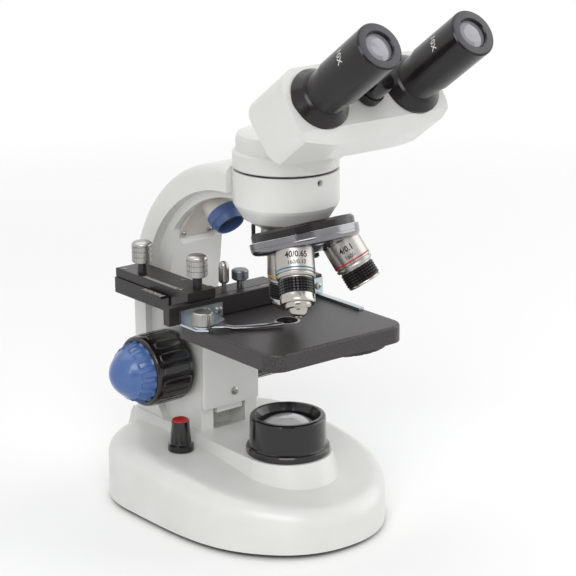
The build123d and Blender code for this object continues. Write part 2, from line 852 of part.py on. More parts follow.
# Carriage, rack and stage
with BuildPart() as focus_carriage:
    with BuildSketch(Plane.XY.offset(carriage_bottom)):
        plate_depth = housing_front_y - slide_gap - carriage_front_y
        with Locations((0, carriage_front_y + plate_depth / 2)):
            Rectangle(2 * carriage_half_width, plate_depth)
    extrude(amount=stage_bottom - carriage_bottom)
    with BuildSketch(Plane.XY.offset(tongue_bottom)):
        with Locations((0, (housing_front_y - slide_gap + tongue_back_y) / 2)):
            Rectangle(2 * tongue_half_width, tongue_back_y - housing_front_y + slide_gap)
    extrude(amount=stage_bottom - tongue_bottom)
    front_edges = focus_carriage.edges().filter_by(Axis.Z).group_by(Axis.Y)[0]
    fillet(front_edges, 1.0)
save(focus_carriage, "focus_carriage")

with BuildPart() as focus_rack:
    rack_height = stage_bottom - carriage_bottom - 2 * rack_margin
    tooth_pitch = 2 * math.pi * pinion_radius / tooth_count
    tooth_total = int(rack_height / tooth_pitch)
    rack_face_y = rack_pitch_y - rack_tooth / 2 - 0.5
    with BuildSketch(Plane.YZ):
        with Locations(((tongue_back_y + rack_face_y) / 2, carriage_bottom + rack_margin + rack_height / 2)):
            Rectangle(rack_face_y - tongue_back_y, rack_height)
        for index in range(tooth_total):
            tooth_z = focus_z + tooth_pitch * (index - int((focus_z - carriage_bottom - 3) / tooth_pitch) + 0.5)
            if carriage_bottom + 3 < tooth_z < carriage_bottom + rack_height:
                with Locations((rack_face_y, tooth_z)):
                    Rectangle(2 * rack_tooth * 0.6, rack_tooth_width)
    extrude(amount=rack_half_width, both=True)
save(focus_rack, "focus_rack")

with BuildPart() as stage_bracket:
    with BuildSketch(Plane.XY.offset(stage_bottom - bracket_thickness)):
        with Locations((0, (bracket_front_y + carriage_front_y) / 2)):
            RectangleRounded(2 * bracket_half_width, carriage_front_y - bracket_front_y, 3)
    extrude(amount=bracket_thickness)
save(stage_bracket, "stage_bracket")

with BuildPart() as stage_plate:
    stage_depth = stage_back_y - stage_front_y
    stage_mid_y = (stage_back_y + stage_front_y) / 2
    with BuildSketch(Plane.XY.offset(stage_bottom)):
        with Locations((0, stage_mid_y)):
            RectangleRounded(2 * stage_half_width, stage_depth, stage_corner)
    extrude(amount=stage_thickness)
    fillet(stage_plate.faces().sort_by(Axis.Z)[-1].edges(), 1.8)
    with BuildSketch(Plane.XY.offset(stage_bottom)):
        Circle(stage_hole_radius)
        with Locations((disc_x, disc_y)):
            Circle(disc_pivot_radius - 0.5)
    extrude(amount=stage_thickness, mode=Mode.SUBTRACT)
    with BuildSketch(Plane.XY.offset(stage_bottom)):
        Circle(11.0)
    extrude(amount=stage_thickness - 3, mode=Mode.SUBTRACT)
    with BuildSketch(Plane.XY.offset(stage_top - 3)):
        with Locations((disc_x, disc_y)):
            Circle(disc_pivot_radius)
    extrude(amount=4)
    with BuildSketch(Plane.XY.offset(stage_top)):
        with Locations((disc_x, disc_y)):
            Circle(disc_pivot_radius + 1)
    extrude(amount=4, mode=Mode.SUBTRACT)
save(stage_plate, "stage_plate")

disc_top = stage_bottom - seat_gap
with BuildPart() as diaphragm_disc:
    with BuildSketch(Plane.XY.offset(disc_top - disc_thickness)):
        with Locations((disc_x, disc_y)):
            Circle(disc_radius)
            Circle(disc_pivot_radius + running_gap, mode=Mode.SUBTRACT)
        axis_distance = math.hypot(disc_x, disc_y)
        axis_bearing = math.degrees(math.atan2(-disc_y, -disc_x))
        for step, share in enumerate((1.0, 0.83, 0.67, 0.5, 0.33)):
            hole = disc_hole * share
            bearing = math.radians(axis_bearing + 72 * step)
            hole_x = disc_x + axis_distance * math.cos(bearing)
            hole_y = disc_y + axis_distance * math.sin(bearing)
            with Locations((hole_x, hole_y)):
                Circle(hole, mode=Mode.SUBTRACT)
    extrude(amount=disc_thickness)
    with BuildSketch(Plane.XY.offset(disc_top - disc_thickness)):
        with Locations((disc_x, disc_y)):
            with PolarLocations(disc_radius + 0.4, 30):
                Circle(1.0)
    extrude(amount=disc_thickness, mode=Mode.SUBTRACT)
save(diaphragm_disc, "diaphragm_disc")

pivot_axis = upright(disc_x, disc_y)
with BuildPart() as diaphragm_screw:
    head_top = disc_top - disc_thickness - seat_gap
    outline = (
        (0, head_top - 2),
        (disc_pivot_radius + 2.5, head_top - 2),
        (disc_pivot_radius + 2.5, head_top),
        (disc_pivot_radius, head_top),
        (disc_pivot_radius, stage_bottom),
        (disc_pivot_radius - 0.5, stage_bottom),
        (disc_pivot_radius - 0.5, stage_top - 3),
        (0, stage_top - 3),
    )
    revolve(half_section(pivot_axis, *outline), axis=axis_of(pivot_axis))
save(diaphragm_screw, "diaphragm_screw")

# Mechanical stage
rail_bottom = rail_top - rail_height
rail_left_x = block_left_x - 1.0
slot_left_x = y_knob_x - drive_pinion_radius - 0.4
slot_right_x = y_knob_x + drive_pinion_radius + 0.4
tongue_x = block_right_x - 5.0
tongue_width = 3.0
with BuildPart() as y_rail:
    with BuildSketch(Plane.XY.offset(rail_bottom)):
        with Locations(((rail_left_x + block_right_x) / 2, (rail_front_y + block_back_y) / 2)):
            Rectangle(block_right_x - rail_left_x, block_back_y - rail_front_y)
        with Locations(((slot_left_x + slot_right_x) / 2, (rail_front_y + block_back_y) / 2 + 2)):
            Rectangle(slot_right_x - slot_left_x, block_back_y - rail_front_y - 12, mode=Mode.SUBTRACT)
        with Locations((tongue_x, (rail_front_y + block_back_y) / 2 + 2)):
            Rectangle(tongue_width + 2 * slide_gap, block_back_y - rail_front_y - 8, mode=Mode.SUBTRACT)
        with Locations(((tongue_x + foot_left_x) / 2 + 4, rail_front_y + 2)):
            Rectangle(foot_left_x - tongue_x + 6, 4)
    extrude(amount=rail_height)
    with BuildSketch(Plane.XY.offset(stage_top)):
        foot_front_y = bar_back_y + seat_gap
        with Locations(((foot_left_x + foot_right_x) / 2, (foot_front_y + foot_back_y) / 2)):
            Rectangle(foot_right_x - foot_left_x, foot_back_y - foot_front_y)
    extrude(amount=rail_top - stage_top)
    with BuildSketch(Plane.XY.offset(rail_bottom)):
        with Locations((foot_left_x + 5, (foot_back_y + rail_front_y) / 2 + 1)):
            Rectangle(10, rail_front_y - foot_back_y + 6)
    extrude(amount=rail_height)
    with BuildSketch(Plane.XY.offset(stage_top)):
        with Locations((stop_pin_x, stop_pin_y)):
            Circle(1.5 + running_gap)
        with Locations((clamp_x, clamp_y)):
            Circle(2.2 + running_gap)
    extrude(amount=rail_top - stage_top, mode=Mode.SUBTRACT)
save(y_rail, "y_rail")

vernier_length = 22.0
with BuildPart() as vernier_plate:
    with BuildSketch(Plane.XY.offset(rail_top - 1.0)):
        with Locations((rail_left_x - 2.6, rail_front_y + vernier_length / 2 + 1)):
            Rectangle(5.2, vernier_length)
    extrude(amount=1.6)
save(vernier_plate, "vernier_plate")

with BuildPart() as y_carriage:
    block_mid = ((block_left_x + block_right_x) / 2, (block_front_y + block_back_y) / 2)
    with BuildSketch(Plane.XY.offset(block_bottom)):
        with Locations(block_mid):
            Rectangle(block_width, block_back_y - block_front_y)
        for post in ((y_knob_x, y_knob_y), (x_knob_x, x_knob_y)):
            with Locations(post):
                Circle(drive_post_radius + running_gap, mode=Mode.SUBTRACT)
    extrude(amount=block_height)
    fillet(y_carriage.faces().sort_by(Axis.Z)[-1].outer_wire().edges(), 0.6)
    # Guide behind the cross bar, with room for the drive pinion
    guide_front_y = bar_back_y + slide_gap
    guide_back_y = rail_front_y - slide_gap - 1
    with BuildSketch(Plane.XY.offset(bar_bottom + 0.5)):
        with Locations(((block_left_x + block_right_x) / 2, (guide_front_y + guide_back_y) / 2)):
            Rectangle(block_width, guide_back_y - guide_front_y)
        with Locations((x_knob_x, x_knob_y)):
            Circle(drive_pinion_radius + 0.4, mode=Mode.SUBTRACT)
        with Locations((x_knob_x, guide_front_y)):
            Rectangle(2 * drive_pinion_radius, 4, mode=Mode.SUBTRACT)
    extrude(amount=block_bottom - bar_bottom - 0.5)
    # Tongue that keeps the block straight in the rail's slot
    with BuildSketch(Plane.XY.offset(block_bottom)):
        with Locations((tongue_x, block_back_y - 20)):
            Rectangle(tongue_width, 26)
    extrude(amount=-5)
save(y_carriage, "y_carriage")


def drive_knob_outline(pinion_bottom):
    """Pinion, post and domed knob as (radius, height) points."""
    post_top = block_top + drive_post_height
    top = post_top + drive_knob_height
    pinion_top = block_bottom - slide_gap
    return (
        (0, pinion_bottom),
        (drive_pinion_radius - 0.3, pinion_bottom),
        (drive_pinion_radius - 0.3, pinion_top),
        (drive_post_radius, pinion_top),
        (drive_post_radius, post_top),
        (drive_knob_radius - 0.6, post_top),
        (drive_knob_radius, post_top + 0.6),
        (drive_knob_radius, top - 3.4),
        (drive_knob_radius * 0.86, top - 1.6),
        (drive_knob_radius * 0.5, top - 0.4),
        (0, top),
    )


for name, place, depth in (
    ("y_knob", (y_knob_x, y_knob_y), rail_bottom + 1),
    ("x_knob", (x_knob_x, x_knob_y), bar_bottom + 1),
):
    knob_axis = upright(*place)
    with BuildPart() as drive_knob:
        revolve(half_section(knob_axis, *drive_knob_outline(depth)), axis=axis_of(knob_axis))
    save(drive_knob, name)

bar_tooth_pitch = 2.2
with BuildPart() as x_bar:
    bar_length = bar_right_x - bar_left_x
    bar_mid_x = (bar_left_x + bar_right_x) / 2
    with BuildSketch(Plane.XY.offset(bar_bottom)):
        with Locations((bar_mid_x, bar_front_y + bar_depth / 2)):
            Rectangle(bar_length, bar_depth)
    extrude(amount=bar_height)
    fillet(x_bar.edges().filter_by(Axis.X).group_by(Axis.Z)[-1], 0.5)
    # Rack along the lower back of the bar
    with BuildSketch(Plane.XY.offset(bar_bottom)):
        with Locations((bar_mid_x, bar_back_y)):
            with GridLocations(bar_tooth_pitch, 1, int(bar_length / bar_tooth_pitch), 1):
                Rectangle(bar_tooth_pitch / 2, 1.6)
    extrude(amount=6.5, mode=Mode.SUBTRACT)
save(x_bar, "x_bar")

strip_bottom = stage_top + seat_gap
left_plate_right_x = -26.0
with BuildPart() as left_bracket:
    bracket_left_x = finger_knob_x - 5.5
    with BuildSketch(Plane.XY.offset(strip_bottom)):
        with Locations(((bracket_left_x + left_plate_right_x) / 2, bar_front_y - strip_thickness / 2)):
            Rectangle(left_plate_right_x - bracket_left_x, strip_thickness)
    extrude(amount=bar_height - 2.2)
    with BuildSketch(Plane.XY.offset(strip_bottom)):
        with BuildLine():
            Polyline(
                (bracket_left_x, bar_front_y),
                (bracket_left_x, finger_knob_y),
                (finger_knob_x, finger_knob_y - 5.5),
                (finger_knob_x + 5.5, finger_knob_y),
                (left_plate_right_x - 4, bar_front_y - 8),
                (left_plate_right_x - 4, bar_front_y),
                close=True,
            )
        make_face()
        with Locations((finger_knob_x, finger_knob_y)):
            Circle(1.5 + running_gap, mode=Mode.SUBTRACT)
    extrude(amount=strip_thickness)
save(left_bracket, "left_bracket")

finger_bottom = strip_bottom + strip_thickness + seat_gap
finger_post_radius = 2.4
knob_bottom = finger_bottom + finger_thickness + seat_gap
finger_axis = upright(finger_knob_x, finger_knob_y)
with BuildPart() as finger_knob:
    post_bottom = strip_bottom + strip_thickness
    outline = (
        (0, strip_bottom),
        (1.5, strip_bottom),
        (1.5, post_bottom),
        (finger_post_radius, post_bottom),
        (finger_post_radius, knob_bottom),
        (finger_knob_radius - 0.4, knob_bottom),
        (finger_knob_radius, knob_bottom + 0.4),
        (finger_knob_radius, knob_bottom + 7.4),
        (finger_knob_radius - 0.8, knob_bottom + 8.2),
        (0, knob_bottom + 8.2),
    )
    revolve(half_section(finger_axis, *outline), axis=axis_of(finger_axis))
save(finger_knob, "finger_knob")

# Spring finger: its plan is bowed, and it steps down from the pivot to just above the slide
finger_length = math.hypot(finger_tip_x - finger_knob_x, finger_tip_y - finger_knob_y)
finger_bearing = math.degrees(math.atan2(finger_tip_y - finger_knob_y, finger_tip_x - finger_knob_x))
finger_plan = Plane(origin=(finger_knob_x, finger_knob_y, strip_bottom)).rotated((0, 0, finger_bearing))
finger_side = Plane(origin=finger_plan.origin, x_dir=finger_plan.x_dir, z_dir=-finger_plan.y_dir)
finger_low = 0.0
finger_high = finger_bottom - strip_bottom
with BuildPart() as spring_finger:
    with BuildSketch(finger_plan):
        with BuildLine():
            near_edge = ThreePointArc((0, -4.6), (finger_length * 0.5, -4.4), (finger_length, -0.6))
            far_edge = ThreePointArc((finger_length, 1.0), (finger_length * 0.5, -0.8), (0, 4.6))
            Line(near_edge @ 1, far_edge @ 0)
            Line(far_edge @ 1, near_edge @ 0)
        make_face()
        Circle(5.6)
        Circle(finger_post_radius + running_gap, mode=Mode.SUBTRACT)
    extrude(amount=finger_high + finger_thickness)
    with BuildSketch(finger_side):
        with BuildLine():
            Polyline(
                (-6, finger_high),
                (13.5, finger_high),
                (17.5, finger_low),
                (finger_length + 1, finger_low),
                (finger_length + 1, finger_low + finger_thickness),
                (18.5, finger_low + finger_thickness),
                (14.5, finger_high + finger_thickness),
                (-6, finger_high + finger_thickness),
                close=True,
            )
        make_face()
    extrude(amount=8, both=True, mode=Mode.INTERSECT)
save(spring_finger, "spring_finger")

with BuildPart() as right_finger:
    plate_left_x = bar_right_x - right_bracket_width
    with BuildSketch(Plane.XY.offset(strip_bottom)):
        with Locations((bar_right_x - right_bracket_width / 2, bar_front_y - strip_thickness / 2)):
            Rectangle(right_bracket_width, strip_thickness)
    extrude(amount=bar_height - 1.0)
    with BuildSketch(Plane.XY.offset(strip_bottom)):
        with Locations((plate_left_x + 2, (bar_front_y + right_finger_tip_y) / 2)):
            Rectangle(4, bar_front_y - right_finger_tip_y)
    extrude(amount=finger_thickness)
save(right_finger, "right_finger")

pin_axis = upright(stop_pin_x, stop_pin_y)
with BuildPart() as stop_pin:
    outline = (
        (0, stage_top),
        (1.5, stage_top),
        (1.5, rail_top + stop_pin_neck),
        (stop_pin_radius - 0.4, rail_top + stop_pin_neck),
        (stop_pin_radius, rail_top + stop_pin_neck + 1),
        (stop_pin_radius, rail_top + stop_pin_height - 3),
        (stop_pin_radius * 0.75, rail_top + stop_pin_height - 1),
        (0, rail_top + stop_pin_height),
    )
    revolve(half_section(pin_axis, *outline), axis=axis_of(pin_axis))
save(stop_pin, "stop_pin")

clamp_axis = upright(clamp_x, clamp_y)
with BuildPart() as clamp_screw:
    outline = (
        (0, stage_top),
        (2.2, stage_top),
        (2.2, rail_top + 4.3),
        (clamp_radius - 1.2, rail_top + 4.3),
        (clamp_radius, rail_top + 5.2),
        (clamp_radius, rail_top + 10.6),
        (clamp_radius - 0.5, rail_top + 11.2),
        (0, rail_top + 11.2),
    )
    revolve(half_section(clamp_axis, *outline), axis=axis_of(clamp_axis))
save(clamp_screw, "clamp_screw")

# Revolving nosepiece
turret_top = mount_reach + mount_thickness + slide_gap
turret_low = turret_top + turret_rim
cone_rise = math.tan(math.radians(nose_tilt))
hub_radius = 9.0
with BuildPart() as nosepiece_mount:
    outline = (
        (turret_bolt_radius, mount_reach),
        (mount_radius - 1.5, mount_reach),
        (mount_radius, mount_reach + 1.5),
        (mount_radius, mount_reach + mount_thickness),
        (turret_bolt_radius, mount_reach + mount_thickness),
    )
    revolve(half_section(nose_axis, *outline), axis=axis_of(nose_axis))
    light_path = station_axis(0)
    with BuildSketch(light_path.offset(mount_reach - 10)):
        Circle(9.0)
    extrude(amount=30, mode=Mode.SUBTRACT)
save(nosepiece_mount, "nosepiece_mount")

station_turns = {"objective_10x": 0, "objective_4x": 120, "objective_40x": -120}
with BuildPart() as turret:
    hub_low = turret_low + (turret_radius - hub_radius) * cone_rise
    outline = (
        (turret_bolt_radius + running_gap, turret_top),
        (turret_radius, turret_top),
        (turret_radius, turret_low - 0.6),
        (turret_radius - 0.6, turret_low),
        (hub_radius, hub_low),
        (turret_bolt_radius + running_gap, hub_low),
    )
    revolve(half_section(nose_axis, *outline), axis=axis_of(nose_axis))
    for turn in station_turns.values():
        with BuildSketch(station_axis(turn).offset(seat_reach)):
            Circle(seat_radius)
        extrude(amount=-5)
    for turn in station_turns.values():
        with BuildSketch(station_axis(turn).offset(seat_reach)):
            Circle(9.0)
        extrude(amount=-20, mode=Mode.SUBTRACT)
    with BuildSketch(nose_axis.offset(turret_top)):
        Circle(turret_radius + 10)
    extrude(amount=-20, mode=Mode.SUBTRACT)
save(turret, "turret")

with BuildPart() as turret_bolt:
    bolt_head = hub_low + seat_gap
    outline = (
        (0, mount_reach),
        (turret_bolt_radius, mount_reach),
        (turret_bolt_radius, bolt_head),
        (hub_radius - 2.5, bolt_head),
        (hub_radius - 2.5, bolt_head + 2.2),
        (hub_radius - 3.5, bolt_head + 3.0),
        (0, bolt_head + 3.0),
    )
    revolve(half_section(nose_axis, *outline), axis=axis_of(nose_axis))
save(turret_bolt, "turret_bolt")


def objective_outline(length, tip_radius, cone):
    """Barrel, flange, knurled sleeve and front cone as (radius, reach from the apex) points."""
    tip = seat_reach + length
    sleeve_top = seat_reach + barrel_4x_length * 0.637
    sleeve_end = seat_reach + barrel_4x_length * 0.949
    waist = sleeve_radius - 0.9
    points = [
        (0, seat_reach),
        (objective_radius - 0.3, seat_reach),
        (objective_radius, seat_reach + 0.4),
        (objective_radius, sleeve_top - 1.6),
        (objective_radius - 0.9, sleeve_top - 0.5),
        (waist, sleeve_top - 0.5),
        (waist, sleeve_top),
        (sleeve_radius, sleeve_top),
        (sleeve_radius, sleeve_end),
    ]
    lower = sleeve_radius - 0.4
    points += [(lower, sleeve_end), (lower, tip - cone)]
    if cone > 3:
        points += [(lower * 0.75, tip - cone * 0.94), (lower * 0.5 + tip_radius * 0.25, tip - cone * 0.5)]
        points += [(tip_radius * 1.3, tip - cone * 0.17)]
    points += [(tip_radius, tip), (0, tip)]
    return points


objective_sizes = {
    "objective_4x": (barrel_4x_length, tip_radius_4x, cone_4x),
    "objective_10x": (barrel_10x_length, tip_radius_10x, cone_10x),
    "objective_40x": (barrel_40x_length, tip_radius_40x, cone_40x),
}
for name, (length, tip_radius, cone) in objective_sizes.items():
    own_axis = station_axis(station_turns[name])
    with BuildPart() as objective:
        outline = objective_outline(length, tip_radius, cone)
        revolve(half_section(own_axis, *outline), axis=axis_of(own_axis))
    save(objective, name)

# Head
with BuildPart() as head_ring:
    outline = (
        (socket_radius + 1, barrel_top),
        (barrel_radius - 1.4, barrel_top),
        (barrel_radius - 1.4, barrel_top + ring_height),
        (socket_radius + 1, barrel_top + ring_height),
    )
    revolve(half_section(barrel_axis, *outline), axis=Axis.Z)
save(head_ring, "head_ring")

cap_outline = (
    (0, cap_bottom),
    (barrel_radius - 0.6, cap_bottom),
    (barrel_radius, cap_bottom + 0.6),
    (barrel_radius, cap_step_z - 1.2),
    (cap_step_radius, cap_step_z),
    (cap_step_radius, cap_top_z - 4),
    (cap_step_radius - 1.2, cap_top_z - 1.2),
    (cap_step_radius - 4, cap_top_z),
    (0, cap_top_z + 1.5),
)
with BuildPart() as head_cap:
    revolve(half_section(barrel_axis, *cap_outline), axis=Axis.Z)
    with BuildSketch(Plane.XY.offset(barrel_top - socket_depth + 1)):
        Circle(socket_radius)
    extrude(amount=cap_bottom - barrel_top + socket_depth - 1)
    with BuildSketch(Plane.XY.offset(barrel_top - socket_depth + 1)):
        Circle(light_path_radius)
    extrude(amount=cap_top_z - cap_roof - barrel_top + socket_depth - 1, mode=Mode.SUBTRACT)
save(head_cap, "head_cap")

# Prism housing: side outline swept across, trimmed by the front outline, parted into two shells
knob_centre = (0, -ipd_knob_drop)
slot_reach = tube_radius - 2
with BuildSketch(head_axis.offset(housing_back)) as front_outline:
    with BuildLine():
        top_y = housing_high
        arch = ThreePointArc(
            (-housing_half_width + 5, housing_front_low - 3),
            (0, housing_low - 1),
            (housing_half_width - 5, housing_front_low - 3),
        )
        right_low = ThreePointArc(
            arch @ 1,
            (housing_half_width - 1.2, housing_front_low + 1.5),
            (housing_half_width, housing_front_low + 7),
        )
        right = Line(right_low @ 1, (housing_half_width, top_y - housing_top_round))
        right_top = RadiusArc(right @ 1, (housing_half_width - housing_top_round, top_y), -housing_top_round)
        top = Line(right_top @ 1, (-housing_half_width + housing_top_round, top_y))
        left_top = RadiusArc(top @ 1, (-housing_half_width, top_y - housing_top_round), -housing_top_round)
        left = Line(left_top @ 1, (-housing_half_width, housing_front_low + 7))
        ThreePointArc(
            left @ 1,
            (-housing_half_width + 1.2, housing_front_low + 1.5),
            arch @ 0,
        )
    make_face()

side_plane = Plane(origin=head_axis.origin, x_dir=head_axis.z_dir, z_dir=-head_axis.x_dir)
with BuildPart() as housing:
    with BuildSketch(side_plane):
        with BuildLine():
            Polyline(
                (housing_back, housing_high + 1),
                (housing_front, housing_high + 1),
                (housing_front, housing_front_low + 1),
                (housing_front - 9, housing_low),
                (housing_back + 9, housing_low),
                (housing_back + 5, housing_low + 2),
                close=True,
            )
        make_face()
    extrude(amount=housing_half_width + 1, both=True)
    extrude(front_outline.sketch, amount=housing_front - housing_back + 1, mode=Mode.INTERSECT)
    with BuildSketch(head_axis.offset(10)):
        Circle(neck_tube_radius)
    extrude(amount=housing_back - 4)
    # Neck trimmed to the cap and kept above the arm
    revolve(half_section(barrel_axis, *cap_outline), axis=Axis.Z, mode=Mode.SUBTRACT)
    with BuildSketch(Plane.XY.offset(cap_bottom)):
        Circle(barrel_radius + 4)
    extrude(amount=-40, mode=Mode.SUBTRACT)
    # Prism chamber
    with BuildSketch(head_axis.offset(housing_back + housing_wall + 3)):
        with Locations((0, (housing_high + housing_front_low) / 2 + 1)):
            Rectangle(2 * (housing_half_width - housing_wall - 2), housing_high - housing_front_low - 2 * housing_wall - 4)
    extrude(amount=housing_front - housing_back - 2 * housing_wall - 4, mode=Mode.SUBTRACT)
    # Slots for the two tubes and the hole for the knob's shaft
    with BuildSketch(head_axis.offset(housing_front)):
        for side in (-1, 1):
            with Locations((side * pupil_distance / 2, 0)):
                SlotCenterToCenter(2 * pupil_slide + 2, 2 * slot_reach)
        with Locations(knob_centre):
            Circle(2.5 + running_gap)
    extrude(amount=-housing_wall - 5, mode=Mode.SUBTRACT)

parting_plane = Plane(
    origin=head_axis.origin + head_axis.y_dir * housing_parting,
    x_dir=(1, 0, 0),
    z_dir=head_axis.y_dir,
)
with BuildPart() as upper_housing:
    add(housing.part)
    split(bisect_by=parting_plane, keep=Keep.TOP)
save(upper_housing, "upper_housing")

with BuildPart() as lower_housing:
    add(housing.part)
    split(bisect_by=parting_plane, keep=Keep.BOTTOM)
save(lower_housing, "lower_housing")

with BuildPart() as prism_block:
    with BuildSketch(head_axis.offset(housing_back + housing_wall + 3.5)):
        with Locations((-prism_x, 2), (prism_x, 2)):
            Rectangle(prism_width, prism_height)
    extrude(amount=prism_depth)
save(prism_block, "prism_block")


def tube_axis(side, reach=0.0):
    """Axis plane of one eyepiece tube."""
    return Plane(
        origin=head_axis.origin + head_axis.x_dir * (side * pupil_distance / 2) + head_axis.z_dir * reach,
        x_dir=head_axis.x_dir,
        z_dir=head_axis.z_dir,
    )


flange_seat = housing_front + slide_gap
spigot_radius = slot_reach - slide_gap
eyepiece_seat = flange_seat + flange_height + tube_show
eyepiece_end = eyepiece_seat + eyepiece_skirt
for side, label in ((-1, "left"), (1, "right")):
    own_axis = tube_axis(side)
    with BuildPart() as tube:
        outline = (
            (spigot_radius - 2.5, housing_front - 7),
            (spigot_radius, housing_front - 7),
            (spigot_radius, flange_seat),
            (flange_radius, flange_seat),
            (flange_radius, flange_seat + 1.6),
            (tube_radius + 1.4, flange_seat + flange_height - 1),
            (tube_radius, flange_seat + flange_height),
            (tube_radius, eyepiece_seat),
            (tube_bore_radius, eyepiece_seat),
            (tube_bore_radius, flange_seat + 4),
            (spigot_radius - 2.5, flange_seat + 4),
        )
        revolve(half_section(own_axis, *outline), axis=axis_of(own_axis))
    save(tube, f"tube_{label}")

    with BuildPart() as eyepiece:
        sleeve = tube_bore_radius - running_gap
        sleeve_end = flange_seat + 6
        outline = (
            (sleeve - 2, sleeve_end),
            (sleeve, sleeve_end),
            (sleeve, eyepiece_seat),
            (eyepiece_radius - 0.5, eyepiece_seat),
            (eyepiece_radius, eyepiece_seat + 0.6),
            (eyepiece_radius, eyepiece_end - 0.8),
            (eyepiece_radius - 0.8, eyepiece_end),
            (eye_lens_radius + 0.5, eyepiece_end),
            (eye_lens_radius, eyepiece_end - 0.5),
            (eye_lens_radius, eyepiece_end - 7),
            (sleeve - 2, eyepiece_end - 7),
        )
        revolve(half_section(own_axis, *outline), axis=axis_of(own_axis))
    save(eyepiece, f"eyepiece_{label}")

    with BuildPart() as eye_lens:
        lens_edge = eye_lens_radius - running_gap
        outline = (
            (0, eyepiece_end - 7),
            (lens_edge, eyepiece_end - 7),
            (lens_edge, eyepiece_end - 2.2),
            (lens_edge * 0.6, eyepiece_end - 1.4),
            (0, eyepiece_end - 1.1),
        )
        revolve(half_section(own_axis, *outline), axis=axis_of(own_axis))
    save(eye_lens, f"eye_lens_{label}")

with BuildPart() as ipd_knob:
    shaft = 2.5
    knob_seat = housing_front + seat_gap
    knob_axis = Plane(
        origin=head_axis.origin - head_axis.y_dir * ipd_knob_drop,
        x_dir=head_axis.x_dir,
        z_dir=head_axis.z_dir,
    )
    outline = (
        (0, housing_front - housing_wall - 3),
        (shaft, housing_front - housing_wall - 3),
        (shaft, knob_seat),
        (ipd_knob_radius - 0.5, knob_seat),
        (ipd_knob_radius, knob_seat + 0.5),
        (ipd_knob_radius, knob_seat + ipd_skirt_height - 0.5),
        (ipd_knob_radius - 0.4, knob_seat + ipd_skirt_height),
        (ipd_stem_radius, knob_seat + ipd_skirt_height),
        (ipd_stem_radius, knob_seat + ipd_knob_height - 1),
        (ipd_stem_radius - 1, knob_seat + ipd_knob_height),
        (0, knob_seat + ipd_knob_height),
    )
    revolve(half_section(knob_axis, *outline), axis=axis_of(knob_axis))
save(ipd_knob, "ipd_knob")
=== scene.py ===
"""Looks of the binocular student microscope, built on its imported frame.

The scene is in metres, and profiles and places are in millimetres. +Z is up, the user sits at -Y, and the
optical axis is the Z axis.
"""

import math

import bpy
from mathutils import Matrix, Vector


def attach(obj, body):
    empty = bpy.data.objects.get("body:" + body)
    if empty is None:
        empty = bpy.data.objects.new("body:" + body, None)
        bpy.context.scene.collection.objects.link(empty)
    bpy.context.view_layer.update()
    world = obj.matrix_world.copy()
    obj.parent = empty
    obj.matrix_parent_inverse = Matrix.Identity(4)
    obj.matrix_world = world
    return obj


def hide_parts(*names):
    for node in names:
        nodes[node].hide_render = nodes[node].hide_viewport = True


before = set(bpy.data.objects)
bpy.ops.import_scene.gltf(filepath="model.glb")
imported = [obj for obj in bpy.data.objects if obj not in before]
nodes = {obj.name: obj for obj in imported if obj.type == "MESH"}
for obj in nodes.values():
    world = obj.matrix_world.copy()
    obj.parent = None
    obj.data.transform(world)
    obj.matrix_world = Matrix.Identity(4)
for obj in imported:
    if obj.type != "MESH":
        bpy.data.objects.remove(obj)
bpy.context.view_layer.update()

MM = 0.001
AXIS = 0.01     # radius that closes a turned profile on its axis

stage_top = 133.0
hands = ((-1, "left"), (1, "right"))


# Colours and nodes

def linear(hex_colour):
    """sRGB hex value to a linear RGBA tuple."""
    channels = [int(hex_colour[i:i + 2], 16) / 255 for i in (1, 3, 5)]
    return tuple(c / 12.92 if c <= 0.04045 else ((c + 0.055) / 1.055) ** 2.4 for c in channels) + (1.0,)


def add_node(owner, kind, links=(), **settings):
    """Add a shader node; settings name sockets or properties, links are (socket, node, output)."""
    node = owner.node_tree.nodes.new(kind)
    for name, value in settings.items():
        socket = name.replace("_", " ").title() if name.islower() else name
        if hasattr(node, name):
            setattr(node, name, value)
        else:
            node.inputs[socket].default_value = value
    for socket, source, output in links:
        owner.node_tree.links.new(source.outputs[output], node.inputs[socket])
    return node


def new_material(name):
    """Material with an empty node tree, its shader and its object coordinates."""
    material = bpy.data.materials.new(name)
    material.use_nodes = True
    material.node_tree.nodes.clear()
    shader = add_node(material, "ShaderNodeBsdfPrincipled")
    add_node(material, "ShaderNodeOutputMaterial", [("Surface", shader, "BSDF")])
    place = add_node(material, "ShaderNodeTexCoord")
    return material, shader, place


